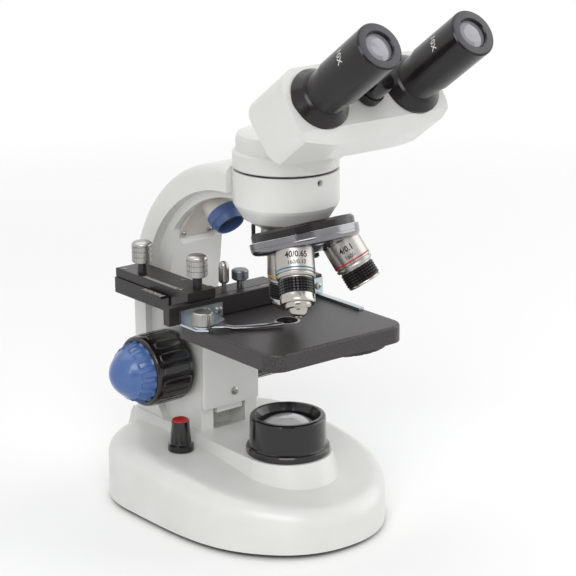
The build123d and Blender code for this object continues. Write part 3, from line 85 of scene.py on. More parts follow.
def surface(name, colours, roughness, spread, grain_mm, bump, metallic=0.0, ior=1.5, coat=0.0,
            stretch=None, painted_crest_highlight=False):
    """Finish with a fine bump, whose colour drifts over centimetres or, where flagged, follows the grain's
    height, paler on its crests as a painted highlight.
    """
    drift_mm = 28
    relief_mm = 0.1
    smoothest = 0.02
    noise_low, noise_high = 0.3, 0.7
    material, shader, place = new_material(name)
    shader.inputs["Metallic"].default_value = metallic
    shader.inputs["IOR"].default_value = ior
    shader.inputs["Coat Weight"].default_value = coat
    shader.inputs["Coat Roughness"].default_value = 0.08
    drift = add_node(material, "ShaderNodeTexNoise", [("Vector", place, "Object")],
                     Scale=1 / (drift_mm * MM), Detail=3.0)
    fine_place = place
    fine_output = "Object"
    if stretch:
        fine_place = add_node(material, "ShaderNodeMapping", [("Vector", place, "Object")], Scale=stretch)
        fine_output = "Vector"
    fine = add_node(material, "ShaderNodeTexNoise", [("Vector", fine_place, fine_output)],
                    Scale=1 / (grain_mm * MM), Detail=4.0, Roughness=0.55)
    # where flagged, the colour follows the grain's height: a painted highlight on its crests
    shade = add_node(material, "ShaderNodeValToRGB", [("Fac", fine if painted_crest_highlight else drift, "Fac")])
    for stop, position, colour in zip(shade.color_ramp.elements, (noise_low, noise_high), colours):
        stop.position = position
        stop.color = linear(colour)
    gloss = add_node(material, "ShaderNodeMapRange", [("Value", fine, "Fac")],
                     from_min=noise_low, from_max=noise_high,
                     to_min=max(roughness - spread, smoothest), to_max=roughness + spread)
    relief = add_node(material, "ShaderNodeBump", [("Height", fine, "Fac")],
                      Strength=bump, Distance=relief_mm * MM)
    links = material.node_tree.links
    links.new(shade.outputs["Color"], shader.inputs["Base Color"])
    links.new(gloss.outputs["Result"], shader.inputs["Roughness"])
    links.new(relief.outputs["Normal"], shader.inputs["Normal"])
    return material


def glass(name, tint):
    """Polished optical glass with a trace of dust."""
    dust_mm = 6
    material, shader, place = new_material(name)
    shader.inputs["Base Color"].default_value = linear(tint)
    shader.inputs["Transmission Weight"].default_value = 1.0
    shader.inputs["IOR"].default_value = 1.52
    dust = add_node(material, "ShaderNodeTexNoise", [("Vector", place, "Object")],
                    Scale=1 / (dust_mm * MM), Detail=2.0)
    haze = add_node(material, "ShaderNodeMapRange", [("Value", dust, "Fac")], to_min=0.01, to_max=0.04)
    material.node_tree.links.new(haze.outputs["Result"], shader.inputs["Roughness"])
    return material


# Stove enamel on a die casting: bright and glossy, with the faint orange peel of sprayed paint
white_enamel = surface("white_stove_enamel", ("#d8d8d4", "#dededb"),
                       roughness=0.3, spread=0.02, grain_mm=2.2, bump=0.006, coat=0.15)
# Moulded ABS in a warmer white, a little softer than the paint
white_abs = surface("cream_moulded_abs", ("#d0ccc4", "#d7d3cb"),
                    roughness=0.36, spread=0.03, grain_mm=1.5, bump=0.015)
# Moulded ABS in black, satin, with flow marks too faint to read as a colour
black_abs = surface("black_moulded_abs", ("#141112", "#1a1718"),
                    roughness=0.2, spread=0.03, grain_mm=1.6, bump=0.004, ior=1.38, coat=0.4)
# Black anodised aluminium: dark, fairly glossy turned tubes
black_anodised = surface("black_anodised_aluminium", ("#191617", "#201d1e"),
                         roughness=0.21, spread=0.03, grain_mm=1.2, bump=0.004, ior=1.4)
# Texture coat of the stage: a matte grain of about a millimetre, paler on its crests as a painted highlight
# where the grain catches the light
black_texture = surface("black_texture_coat_painted_crests", ("#100f10", "#4a4546"),
                        roughness=0.36, spread=0.1, grain_mm=0.8, bump=0.3, ior=1.45, painted_crest_highlight=True)
# Satin black paint on sheet, bars and posts
black_paint = surface("black_satin_paint", ("#1e1b1b", "#272323"),
                      roughness=0.32, spread=0.04, grain_mm=1.2, bump=0.02, ior=1.45)
# Blue ABS of the fine-focus knobs, and the duller blue of the lamp's ring
blue_abs = surface("blue_moulded_abs", ("#3f5f98", "#4868a0"),
                   roughness=0.24, spread=0.03, grain_mm=1.6, bump=0.004, ior=1.45, coat=0.4)
slate_blue_abs = surface("slate_blue_moulded_abs", ("#4a608f", "#536999"),
                         roughness=0.34, spread=0.04, grain_mm=0.9, bump=0.02, ior=1.42)
red_abs = surface("red_moulded_abs", ("#a32421", "#ae2a26"),
                  roughness=0.34, spread=0.04, grain_mm=0.6, bump=0.02)
black_rubber = surface("black_nitrile_rubber", ("#161515", "#1e1d1d"),
                       roughness=0.75, spread=0.1, grain_mm=0.5, bump=0.25)
# Turned metal: lathe marks run round, so the grain is squeezed along the height
turned_steel = surface("turned_bright_steel", ("#a3a19e", "#b1afac"), metallic=1.0,
                       roughness=0.3, spread=0.03, grain_mm=0.5, bump=0.006, stretch=(0.15, 0.15, 3.0))
satin_chrome = surface("satin_chrome_plate", ("#a6a39f", "#b3b0ac"), metallic=1.0,
                       roughness=0.32, spread=0.03, grain_mm=0.5, bump=0.004, stretch=(0.2, 0.2, 2.5))
bright_chrome = surface("bright_chrome_plate", ("#a4a4a7", "#b1b1b4"), metallic=1.0,
                        roughness=0.16, spread=0.02, grain_mm=3.0, bump=0.002)
# Chrome of the turret, painted darker than the other chrome: a painted reflection of the black stage, which it
# mostly sees
turret_chrome_painted_dark = surface("chrome_plate_painted_dark_reflection", ("#7b7a7d", "#89888b"), metallic=1.0,
                      roughness=0.2, spread=0.02, grain_mm=3.0, bump=0.002)
# Clear zinc plating over rolled sheet: pale and faintly blue
zinc_plate = surface("zinc_plated_sheet", ("#b4bec3", "#c2ccd0"), metallic=1.0,
                     roughness=0.3, spread=0.02, grain_mm=4.0, bump=0.003)
machined_brass = surface("machined_brass", ("#a98850", "#b99860"), metallic=1.0,
                         roughness=0.3, spread=0.06, grain_mm=0.5, bump=0.04)
# Nickel-plated front of an objective, brighter than its barrel
polished_nickel = surface("polished_nickel_plate", ("#aca8a2", "#bab6b0"), metallic=1.0,
                          roughness=0.2, spread=0.02, grain_mm=1.5, bump=0.003)
# Steel left dull by its plating bath
dull_steel = surface("dull_zinc_plated_steel", ("#7a7d80", "#888b8e"), metallic=1.0,
                     roughness=0.36, spread=0.04, grain_mm=0.8, bump=0.01)
# Stoved colour bands of the objectives
teal_enamel = surface("teal_stove_enamel", ("#14607f", "#1a6b8a"),
                      roughness=0.25, spread=0.03, grain_mm=0.8, bump=0.01)
yellow_enamel = surface("yellow_stove_enamel", ("#d6a000", "#e0ac08"),
                        roughness=0.25, spread=0.03, grain_mm=0.8, bump=0.01)
red_enamel = surface("red_stove_enamel", ("#a81828", "#b42030"),
                     roughness=0.25, spread=0.03, grain_mm=0.8, bump=0.01)
# Paint rubbed into engraved numbers and ticks
black_ink = surface("black_engraving_paint", ("#121111", "#1a1919"),
                    roughness=0.5, spread=0.05, grain_mm=0.4, bump=0.02, ior=1.3)
white_ink = surface("white_engraving_paint", ("#d4d4d2", "#dededc"),
                    roughness=0.5, spread=0.05, grain_mm=0.4, bump=0.02)
# Flat face round the eye lens, blacked, painted mid grey as a painted sheen of the bright surround it meets at
# a glancing angle
grey_painted_sheen = surface("black_aluminium_painted_grey_sheen", ("#454448", "#504f53"), metallic=0.4,
                        roughness=0.36, spread=0.05, grain_mm=0.6, bump=0.03, ior=1.4)
# Eye lens with its anti-reflection coat, made opaque: the violet is the coat's tint, the pale grey is painted
# light seen through the lens when nothing dark stands behind it
lens_grey_painted_light = surface("coated_eye_lens_painted_light", ("#7d7c84", "#8b8a92"),
                    roughness=0.05, spread=0.02, grain_mm=5.0, bump=0.0, coat=1.0)
black_sheet = surface("black_coated_sheet", ("#121212", "#1a1a1a"),
                      roughness=0.5, spread=0.08, grain_mm=0.7, bump=0.1, ior=1.4)
board_white = surface("white_solder_resist", ("#d8d9d6", "#e2e3e0"),
                      roughness=0.4, spread=0.05, grain_mm=0.8, bump=0.03)
# Base lamp's lens, made opaque: its pearly grey is a painted reflection of the white surround in a clear glass
# dome
lamp_lens_painted_reflection = surface("base_lens_painted_reflection", ("#d2d1d1", "#dad9d9"),
                      roughness=0.06, spread=0.02, grain_mm=6.0, bump=0.0, coat=1.0)
clear_glass = glass("polished_crown_glass", "#f4f8fa")
# Front lenses: the coating gives the glass a violet tint
coated_glass = glass("coated_crown_glass", "#8a86a8")

finishes = {
    white_enamel: ("base_casting", "arm_casting", "head_cap", "upper_housing", "lower_housing",
                   "focus_carriage"),
    white_abs: ("lamp_cover", "lamp_tube"),
    black_abs: ("illuminator_collar", "dimmer_knob", "coarse_knob_left", "coarse_knob_right",
                "diaphragm_disc", "ipd_knob", "dc_socket", "head_ring"),
    black_anodised: ("tube_left", "tube_right", "eyepiece_left", "eyepiece_right", "nosepiece_mount",
                     "turret_bolt"),
    black_texture: ("stage_plate",),
    black_paint: ("x_bar", "y_carriage", "y_rail", "vernier_plate"),
    blue_abs: ("fine_knob_left", "fine_knob_right"),
    slate_blue_abs: ("lamp_ring",),
    red_abs: ("dimmer_cap",),
    black_rubber: ("rubber_feet",),
    turned_steel: ("stop_pin", "clamp_screw", "y_knob", "x_knob", "finger_knob", "coarse_shaft",
                   "fine_shaft", "diaphragm_screw", "base_screws", "dimmer_pot", "head_lock_screw"),
    satin_chrome: ("objective_4x", "objective_10x", "objective_40x"),
    bright_chrome: ("spring_finger",),
    turret_chrome_painted_dark: ("turret",),
    zinc_plate: ("stage_bracket", "left_bracket", "right_finger"),
    machined_brass: ("slide_guides", "focus_bushes", "focus_rack"),
    black_sheet: ("bottom_plate",),
    board_white: ("led_board",),
    clear_glass: ("prism_block",),
    lamp_lens_painted_reflection: ("collector_lens",),
    lens_grey_painted_light: ("eye_lens_left", "eye_lens_right"),
}
for finish, names in finishes.items():
    for name in names:
        nodes[name].data.materials.clear()
        nodes[name].data.materials.append(finish)


# Modelling helpers

def clear_selection():
    """Leave edit mode and select nothing."""
    if bpy.context.mode != "OBJECT":
        bpy.ops.object.mode_set(mode="OBJECT")
    bpy.ops.object.select_all(action="DESELECT")


def select_only(piece):
    """Make a piece the only selected object, and the active one."""
    clear_selection()
    piece.select_set(True)
    bpy.context.view_layer.objects.active = piece


def pick_faces(piece, test):
    """Select the faces whose centre and normal pass a test, and stay in edit mode."""
    bpy.ops.object.mode_set(mode="OBJECT")
    mesh = piece.data
    mesh.vertices.foreach_set("select", [False] * len(mesh.vertices))
    mesh.edges.foreach_set("select", [False] * len(mesh.edges))
    for face in mesh.polygons:
        face.select = test(face.center / MM, face.normal)
    bpy.ops.object.mode_set(mode="EDIT")


def lathe(name, rings, around):
    """Turned piece about Z: a ring is extruded and scaled from one (radius, height) to the next."""
    weld_mm = 0.03
    first_radius, first_height = rings[0]
    clear_selection()
    bpy.ops.mesh.primitive_circle_add(vertices=around, radius=first_radius * MM, fill_type="NOTHING")
    piece = bpy.context.object
    piece.name = name
    bpy.ops.object.mode_set(mode="EDIT")
    bpy.context.tool_settings.mesh_select_mode = (True, False, False)
    bpy.ops.mesh.select_all(action="SELECT")
    bpy.ops.transform.translate(value=(0, 0, first_height * MM))
    for (radius, height), (next_radius, next_height) in zip(rings, rings[1:]):
        rise = (0, 0, (next_height - height) * MM)
        bpy.ops.mesh.extrude_region_move(TRANSFORM_OT_translate={"value": rise})
        grow = next_radius / radius
        bpy.ops.transform.resize(value=(grow, grow, 1), center_override=(0, 0, next_height * MM))
    bpy.ops.mesh.select_all(action="SELECT")
    bpy.ops.mesh.remove_doubles(threshold=weld_mm * MM)
    bpy.ops.mesh.normals_make_consistent(inside=False)
    bpy.context.tool_settings.mesh_select_mode = (False, False, True)
    bpy.ops.mesh.select_all(action="DESELECT")
    return piece


def at(x, y, z=0):
    """Upright frame at a place."""
    return Matrix.Translation((x * MM, y * MM, z * MM))


def along(origin, direction, facing):
    """Frame at a place, whose Z runs along a direction and whose X faces a side."""
    z = Vector(direction).normalized()
    x = Vector(facing)
    x = (x - z * x.dot(z)).normalized()
    turned = Matrix((x, z.cross(x), z)).transposed().to_4x4()
    return Matrix.Translation(Vector(origin) * MM) @ turned


def settle(piece, matrix, finish, body, replaced=(), smooth=35):
    """Put a finished piece in its place and on its body, with its finish."""
    select_only(piece)
    piece.matrix_world = matrix @ piece.matrix_world
    bpy.ops.object.transform_apply(location=True, rotation=True, scale=True)
    bpy.ops.object.shade_smooth_by_angle(angle=math.radians(smooth))
    piece.data.materials.clear()
    piece.data.materials.append(finish)
    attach(piece, body)
    if replaced:
        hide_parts(*replaced)


def soften(piece, width):
    """Bevel a piece's sharp edges with a modifier, and apply it."""
    bevel = piece.modifiers.new("soft_edges", "BEVEL")
    bevel.width = width * MM
    bevel.segments = 2
    bevel.limit_method = "ANGLE"
    bevel.angle_limit = math.radians(40)
    bpy.ops.object.modifier_apply(modifier=bevel.name)


def round_off(piece, levels):
    """Subdivision surface, applied."""
    bpy.ops.object.mode_set(mode="OBJECT")
    smooth = piece.modifiers.new("round_off", "SUBSURF")
    smooth.levels = levels
    smooth.render_levels = levels
    bpy.ops.object.modifier_apply(modifier=smooth.name)


def column(centre, around):
    """Faces counted round a turned piece, as far as a face's centre."""
    return math.degrees(math.atan2(centre.y, centre.x)) % 360 * around / 360


def on_band(centre, normal, low, high, radius):
    """Whether a face belongs to the upright wall of a turned band."""
    sag = 0.4
    lean = 0.3
    outside = math.hypot(centre.x, centre.y) > radius - sag
    return low < centre.z < high and outside and abs(normal.z) < lean


def studs(piece, low, high, radius, groove, depth):
    """Cross knurl: each face of a turned band stands out as a square stud."""
    pick_faces(piece, lambda centre, normal: on_band(centre, normal, low, high, radius))
    bpy.ops.mesh.inset(use_individual=True, thickness=groove * MM, depth=depth * MM)


def ridges(piece, low, high, radius, around, depth):
    """Straight knurl: every second face of a turned band stands out as a ridge."""
    groove = 0.05

    def in_ridge(centre, normal):
        return on_band(centre, normal, low, high, radius) and int(column(centre, around)) % 2 == 0
    pick_faces(piece, in_ridge)
    bpy.ops.mesh.inset(use_individual=True, thickness=groove * MM, depth=depth * MM)


def inset_steps(steps, even):
    """Inset the selected faces again and again, by (thickness, depth)."""
    for thickness, depth in steps:
        bpy.ops.mesh.inset(thickness=thickness * MM, depth=depth * MM, use_even_offset=even)


def band_rows(radius, low, high, rows):
    """Evenly spaced rings of one radius."""
    return [(radius, low + (high - low) * i / rows) for i in range(rows + 1)]


def marking(name, words, height, weight, squeeze, radius, level, bearing, tops, matrix, finish, body):
    """Numbers laid round a barrel; tops is 1 where their tops point along the axis and -1 where against it."""
    size_to_digit = 1.42
    clear_selection()
    bpy.ops.object.text_add()
    piece = bpy.context.object
    piece.name = name
    piece.data.body = words
    piece.data.size = height * size_to_digit * MM
    piece.data.align_x = "CENTER"
    piece.data.align_y = "CENTER"
    piece.data.resolution_u = 3
    piece.data.offset = weight * MM
    bpy.ops.object.convert(target="MESH")
    for vertex in piece.data.vertices:
        angle = math.radians(bearing) + tops * squeeze * vertex.co.x / (radius * MM)
        vertex.co = (
            radius * MM * math.cos(angle),
            radius * MM * math.sin(angle),
            level * MM + tops * vertex.co.y,
        )
    settle(piece, matrix, finish, body)


def block(name, low, high, matrix, finish, body, edge=0.0, copies=1, step=(0, 0, 0)):
    """Box between two corners, bevelled where it has an edge width, and repeated by an array."""
    clear_selection()
    middle = [(a + b) / 2 * MM for a, b in zip(low, high)]
    bpy.ops.mesh.primitive_cube_add(size=1.0, location=middle)
    piece = bpy.context.object
    piece.name = name
    piece.scale = [(b - a) * MM for a, b in zip(low, high)]
    bpy.ops.object.transform_apply(location=True, rotation=True, scale=True)
    if edge:
        soften(piece, edge)
    if copies > 1:
        row = piece.modifiers.new("row", "ARRAY")
        row.count = copies
        row.use_relative_offset = False
        row.use_constant_offset = True
        row.constant_offset_displace = [v * MM for v in step]
        bpy.ops.object.modifier_apply(modifier=row.name)
    settle(piece, matrix, finish, body)


def cross_screw(name, matrix, radius, height, finish, body):
    """Pan head with a cross recess, its seat at the frame's origin and its top along Z."""
    crown = ((1, 0), (1, 0.45), (0.93, 0.72), (0.72, 0.93), (0.45, 1))
    recess_length = radius * 1.15
    recess_width = radius * 0.26
    recess_height = height * 0.9
    recess_middle = height * 0.95
    piece = lathe(name, [(radius * r, height * h) for r, h in crown] + [(AXIS, height)], 32)
    cutters = []
    for turn in (0, 90):
        clear_selection()
        bpy.ops.mesh.primitive_cube_add(size=1.0, location=(0, 0, recess_middle * MM),
                                        rotation=(0, 0, math.radians(turn)))
        cutter = bpy.context.object
        cutter.scale = (recess_length * MM, recess_width * MM, recess_height * MM)
        bpy.ops.object.transform_apply(location=True, rotation=True, scale=True)
        cutters.append(cutter)
    select_only(piece)
    for cutter in cutters:
        recess = piece.modifiers.new("recess", "BOOLEAN")
        recess.operation = "DIFFERENCE"
        recess.object = cutter
        bpy.ops.object.modifier_apply(modifier=recess.name)
        bpy.data.objects.remove(cutter)
    settle(piece, matrix, finish, body)


# Objectives, their profiles as (radius, distance from the shoulder)

nose_turn = math.radians(19.0)      # nosepiece axis from the vertical, and each objective from that axis
nose_apex = (0, 0, 239.5)           # where the objectives' axes meet
nose_down = Vector((0, -math.sin(nose_turn), -math.cos(nose_turn)))
nose_back = Vector((0, math.cos(nose_turn), -math.sin(nose_turn)))
nose_frame = along(nose_apex, nose_down, nose_back)
seat = 63.0                         # apex to an objective's shoulder
sleeve_radius = 10.2
sleeve_end = 28.0
knurl_low = 19.2
knurl_high = 27.6
number_radius = 11.88
viewer = Vector((-0.598, -0.751, 0.281))    # towards the photograph's camera


def station(turn):
    """Frame down an objective's axis from the apex; its X faces outwards."""
    out = math.radians(turn)
    radial = nose_back * math.cos(out) + Vector((1, 0, 0)) * math.sin(out)
    return along(nose_apex, nose_down * math.cos(nose_turn) + radial * math.sin(nose_turn), radial)


def viewer_bearing(matrix):
    """Bearing, in degrees about a frame's Z, of the side that faces the photograph's camera."""
    turned = matrix.to_3x3()
    return math.degrees(math.atan2(viewer.dot(turned.col[1]), viewer.dot(turned.col[0])))


def objective(power, turn, band_finish, nose, lens_radius, lens_level, markings, text_turn):
    """Barrel with its colour band and numbers, knurled sleeve, stepped nose and front lens."""
    node = "objective_" + power
    matrix = station(turn)
    body = "nosepiece"

    def turned(suffix, profile, around):
        return lathe(node + suffix, [(r, seat + h) for r, h in profile], around)

    barrel = [(8.0, 0.0), (11.5, 0.0), (11.8, 0.3), (11.8, 14.9), (11.35, 15.3), (10.9, 15.35), (10.9, 15.9),
              (11.55, 15.95), (11.7, 16.25), (11.7, 17.0), (11.0, 17.9), (9.9, 18.1), (9.9, 18.9)]
    settle(turned("_barrel", barrel, 72), matrix, satin_chrome, body, (node,))
    band = [(11.7, 13.1), (11.86, 13.15), (11.86, 14.05), (11.7, 14.1)]
    settle(turned("_band", band, 72), matrix, band_finish, body)
    rows = [(9.8, 18.8), (10.1, 18.8), (sleeve_radius, 19.0)]
    rows += band_rows(sleeve_radius, knurl_low, knurl_high, 5)
    rows += [(sleeve_radius, sleeve_end), (9.6, sleeve_end)]
    sleeve = turned("_sleeve", rows, 32)
    studs(sleeve, seat + knurl_low, seat + knurl_high, sleeve_radius, groove=0.38, depth=0.6)
    settle(sleeve, matrix, black_anodised, body, smooth=20)
    collar = [(9.6, sleeve_end), (sleeve_radius, sleeve_end), (10.4, 28.3)]
    settle(turned("_nose", collar + nose, 72), matrix, polished_nickel, body)
    dome = [(lens_radius, lens_level - 0.4), (lens_radius, lens_level),
            (lens_radius * 0.7, lens_level + 0.25), (AXIS, lens_level + 0.4)]
    settle(turned("_front_lens", dome, 40), matrix, coated_glass, body)
    bearing = viewer_bearing(matrix) + text_turn
    power_words, tube_words = markings
    marking(node + "_power", power_words, height=3.6, weight=0.1, squeeze=0.9, radius=number_radius,
            level=seat + 5.9, bearing=bearing, tops=-1, matrix=matrix, finish=black_ink, body=body)
    marking(node + "_tube", tube_words, height=2.5, weight=0.05, squeeze=0.95, radius=number_radius,
            level=seat + 10.7, bearing=bearing, tops=-1, matrix=matrix, finish=black_ink, body=body)


nose_40x = [(10.4, 32.7), (9.9, 33.3), (8.3, 33.4), (7.9, 33.8), (7.7, 35.4), (7.2, 36.0), (5.9, 36.5),
            (5.4, 37.4), (5.0, 38.8), (3.9, 40.0), (3.0, 40.45), (2.2, 40.45), (2.0, 39.9), (AXIS, 39.9)]
nose_10x = [(10.4, 30.8), (9.9, 31.3), (8.2, 31.4), (7.8, 31.8), (7.4, 33.2), (6.6, 34.2), (6.3, 35.1),
            (5.7, 35.45), (4.4, 35.45), (4.1, 34.9), (AXIS, 34.9)]
nose_4x = [(10.4, 28.9), (9.9, 29.4), (7.6, 29.45), (7.0, 29.0), (6.8, 27.6), (AXIS, 27.6)]
objective("40x", -120, teal_enamel, nose_40x, lens_radius=1.95, lens_level=40.0,
          markings=("40/0.65", "160/0.17"), text_turn=-6)
objective("10x", 0, yellow_enamel, nose_10x, lens_radius=4.05, lens_level=35.0,
          markings=("10/0.25", "160/0.17"), text_turn=-26)
objective("4x", 120, red_enamel, nose_4x, lens_radius=6.75, lens_level=27.8,
          markings=("4/0.1", "160/-"), text_turn=0)

# Rounded chrome shoulder below the turret's rim
shoulder = [(32.9, 54.2), (33.25, 54.9), (33.1, 56.2), (32.5, 57.4), (31.4, 58.3), (29.6, 58.9),
            (26.0, 59.5), (20.0, 59.9)]
# its darker chrome is a painted reflection of the black stage
settle(lathe("turret_shoulder", shoulder, 96), nose_frame, turret_chrome_painted_dark, "nosepiece", smooth=60)


# Focus knobs, their profiles as (radius, distance from the middle of the arm)

focus_axis = (0, 83.0, 89.8)
grips = 16              # loops on a dome, pads on a drum
grip_columns = 12       # faces from one grip to the next
grip_start = 2          # faces of that share at which a grip starts and ends
grip_end = 10


def grip_place(centre):
    """Faces from the start of a grip's share of the knob to a face's centre."""
    return column(centre, grips * grip_columns) % grip_columns


def fine_dome(side, name):
    """Blue cap with a ring of raised oblong loops for grip."""
    loop_low = 53.7
    loop_high = 63.55
    rings = [(14.0, 50.8), (18.6, 50.8), (18.9, 51.2), (18.9, 53.0), (18.88, loop_low), (18.85, 54.2),
             (18.7, 55.6), (18.4, 57.0), (17.95, 58.6), (17.25, 60.4), (16.35, 62.3), (15.6, loop_high),
             (15.2, 64.2), (13.85, 66.1), (12.4, 67.9), (10.8, 69.6), (9.0, 71.2), (6.9, 72.6), (4.7, 73.7),
             (2.4, 74.4), (AXIS, 74.7)]
    piece = lathe(name + "_dome", rings, grips * grip_columns)

    def in_loop(centre, normal):
        return loop_low < centre.z < loop_high and grip_start < grip_place(centre) < grip_end
    pick_faces(piece, in_loop)
    inset_steps(((0.35, 0.55), (0.25, 0.0), (0.35, -0.55)), even=False)
    round_off(piece, 2)
    matrix = along(focus_axis, (side, 0, 0), (0, 0, 1))
    settle(piece, matrix, blue_abs, "fine", (name,), smooth=60)


def coarse_drum(side, name):
    """Black drum with raised round-ended grip pads."""
    drum_radius = 22.7
    wall = 22.2             # pads lie outside this radius
    pad_low, long_low = 29.6, 30.2
    long_high, pad_high = 49.8, 50.4
    levels = (27.6, 28.4, pad_low, long_low, 35.0, 40.0, 45.0, long_high, pad_high, 51.4, 52.4)
    rings = [(5.1, 26.4), (21.6, 26.4), (22.3, 26.8)]
    rings += [(drum_radius, level) for level in levels]
    rings += [(22.4, 53.4), (21.8, 54.1), (20.9, 54.4), (20.0, 54.3), (19.4, 53.9), (19.2, 53.2),
              (19.2, 50.6), (5.1, 50.4)]
    piece = lathe(name + "_drum", rings, grips * grip_columns)

    def in_pad(centre, normal):
        place = grip_place(centre)
        length = long_low < centre.z < long_high and grip_start < place < grip_end
        at_end = pad_low < centre.z < long_low or long_high < centre.z < pad_high
        ends = at_end and grip_start + 1 < place < grip_end - 1
        return math.hypot(centre.x, centre.y) > wall and (length or ends)
    pick_faces(piece, in_pad)
    inset_steps(((0.3, 0.4), (0.25, 0.0), (0.3, -0.25)), even=True)
    round_off(piece, 1)
    matrix = along(focus_axis, (side, 0, 0), (0, 0, 1))
    settle(piece, matrix, black_abs, "coarse", (name,), smooth=60)


for side, hand in hands:
    fine_dome(side, "fine_knob_" + hand)
    coarse_drum(side, "coarse_knob_" + hand)


# Stage drive, its profiles as (radius, height)

def drive_knob(node, x, y, low, body):
    """Domed steel knob with three ridged bands on a black post."""
    around = 48
    band_radius = 6.3
    neck_radius = 5.95
    bands = ((159.3, 162.6), (163.3, 166.0), (166.7, 169.2))
    matrix = at(x, y)
    stem = [(AXIS, low), (3.3, low), (3.3, 145.5), (3.0, 145.5), (3.0, 159.0), (AXIS, 159.0)]
    settle(lathe(node + "_post", stem, 32), matrix, black_paint, body, (node,))
    rings = [(2.9, 158.8), (6.0, 158.8), (band_radius, 159.1)]
    for band_low, band_high in bands:
        rings += [(band_radius, band_low), (band_radius, band_high),
                  (neck_radius, band_high + 0.15), (neck_radius, band_high + 0.55)]
    rings += [(6.4, 170.0), (6.4, 170.3), (6.25, 170.9), (5.8, 171.5), (4.9, 172.05), (3.5, 172.45),
              (1.8, 172.7), (AXIS, 172.78)]
    knob = lathe(node + "_knob", rings, around)
    for band_low, band_high in bands:
        ridges(knob, band_low, band_high, band_radius, around, depth=0.22)
    settle(knob, matrix, turned_steel, body, smooth=28)


drive_knob("y_knob", x=-44.0, y=90.7, low=136.5, body="y_drive")
drive_knob("x_knob", x=-37.0, y=41.6, low=135.0, body="x_drive")


def straight_knurled(node, rings, low, high, radius, around, depth, x, y, finish, body):
    """Turned knob with ridges along its length."""
    piece = lathe(node + "_knurled", rings, around)
    ridges(piece, low, high, radius, around, depth)
    settle(piece, at(x, y), finish, body, (node,), smooth=28)


clip_pivot = (-52.0, 16.0)
thumb_knob = [(AXIS, 133.4), (1.5, 133.4), (1.5, 134.6), (2.4, 134.6), (2.4, 136.9), (5.9, 136.9),
              (6.3, 137.2), (6.3, 144.0), (6.1, 144.6), (5.6, 144.95), (AXIS, 145.1)]
clamp_screw = [(AXIS, stage_top), (2.2, stage_top), (2.2, 149.4), (3.2, 149.8), (4.2, 149.9), (5.2, 150.7),
               (5.2, 155.8), (4.9, 156.3), (4.4, 156.6), (AXIS, 156.7)]
stop_pin = [(AXIS, stage_top), (1.5, stage_top), (1.5, 148.7), (2.7, 148.7), (3.25, 149.6), (3.25, 158.4),
            (3.05, 160.0), (2.5, 161.3), (1.5, 162.2), (AXIS, 162.5)]
straight_knurled("finger_knob", thumb_knob, low=137.2, high=144.0, radius=6.3, around=64, depth=0.18,
                 x=clip_pivot[0], y=clip_pivot[1], finish=turned_steel, body="x_carrier")
straight_knurled("clamp_screw", clamp_screw, low=150.7, high=155.8, radius=5.2, around=56, depth=0.16,
                 x=-2.7, y=43.5, finish=dull_steel, body="stage")
straight_knurled("stop_pin", stop_pin, low=149.6, high=158.4, radius=3.25, around=24, depth=0.12,
                 x=-12.0, y=48.0, finish=turned_steel, body="stage")


def clip_finger():
    """Sprung bar that holds a slide: a washer round its pivot, then a bowed bar stepping down to the stage."""
    pivot = Vector((*clip_pivot, 0.0))
    tip = Vector((-9.4, -8.7, 0.0))
    matrix = along(pivot, (0, 0, 1), tip - pivot)
    rim = [(2.5, 135.05), (5.3, 135.05), (5.6, 135.3), (5.6, 136.2), (5.3, 136.45), (2.5, 136.45)]
    settle(lathe("clip_washer", rim, 48), matrix, zinc_plate, "finger")
    # Sections of the bar: distance from the pivot, bow, height, half width, half thickness
    sections = ((4.6, -0.5, 135.75, 3.9, 0.75), (10.0, -1.4, 135.8, 3.2, 0.95), (14.0, -1.9, 135.7, 2.9, 1.1),
                (16.0, -2.2, 135.2, 2.8, 1.15), (18.0, -2.4, 134.8, 2.7, 1.2), (25.0, -2.6, 134.7, 2.6, 1.2),
                (33.0, -2.2, 134.7, 2.4, 1.2), (41.0, -1.2, 134.7, 2.1, 1.2), (47.5, -0.1, 134.7, 1.8, 1.15),
                (49.0, 0.2, 134.7, 1.2, 0.8))
    clear_selection()
    bpy.ops.mesh.primitive_circle_add(vertices=20, radius=1.0, fill_type="NGON",
                                      rotation=(0, math.radians(90), 0))
    bar = bpy.context.object
    bar.name = "clip_bar"
    bpy.ops.object.transform_apply(location=True, rotation=True, scale=True)
    bpy.ops.object.mode_set(mode="EDIT")
    bpy.ops.mesh.select_all(action="SELECT")
    x, y, z, wide, thick = sections[0]
    bpy.ops.transform.resize(value=(1, wide * MM, thick * MM), center_override=(0, 0, 0))
    bpy.ops.transform.translate(value=(x * MM, y * MM, z * MM))
    for start, end in zip(sections, sections[1:]):
        shift = [(b - a) * MM for a, b in zip(start[:3], end[:3])]
        bpy.ops.mesh.extrude_region_move(TRANSFORM_OT_translate={"value": shift})
        centre = [v * MM for v in end[:3]]
        bpy.ops.transform.resize(value=(1, end[3] / start[3], end[4] / start[4]), center_override=centre)
    bpy.ops.mesh.select_all(action="SELECT")
    bpy.ops.mesh.normals_make_consistent(inside=False)
    settle(bar, matrix, bright_chrome, "finger", ("spring_finger",), smooth=50)


clip_finger()


# Screws of the stage and the carriage

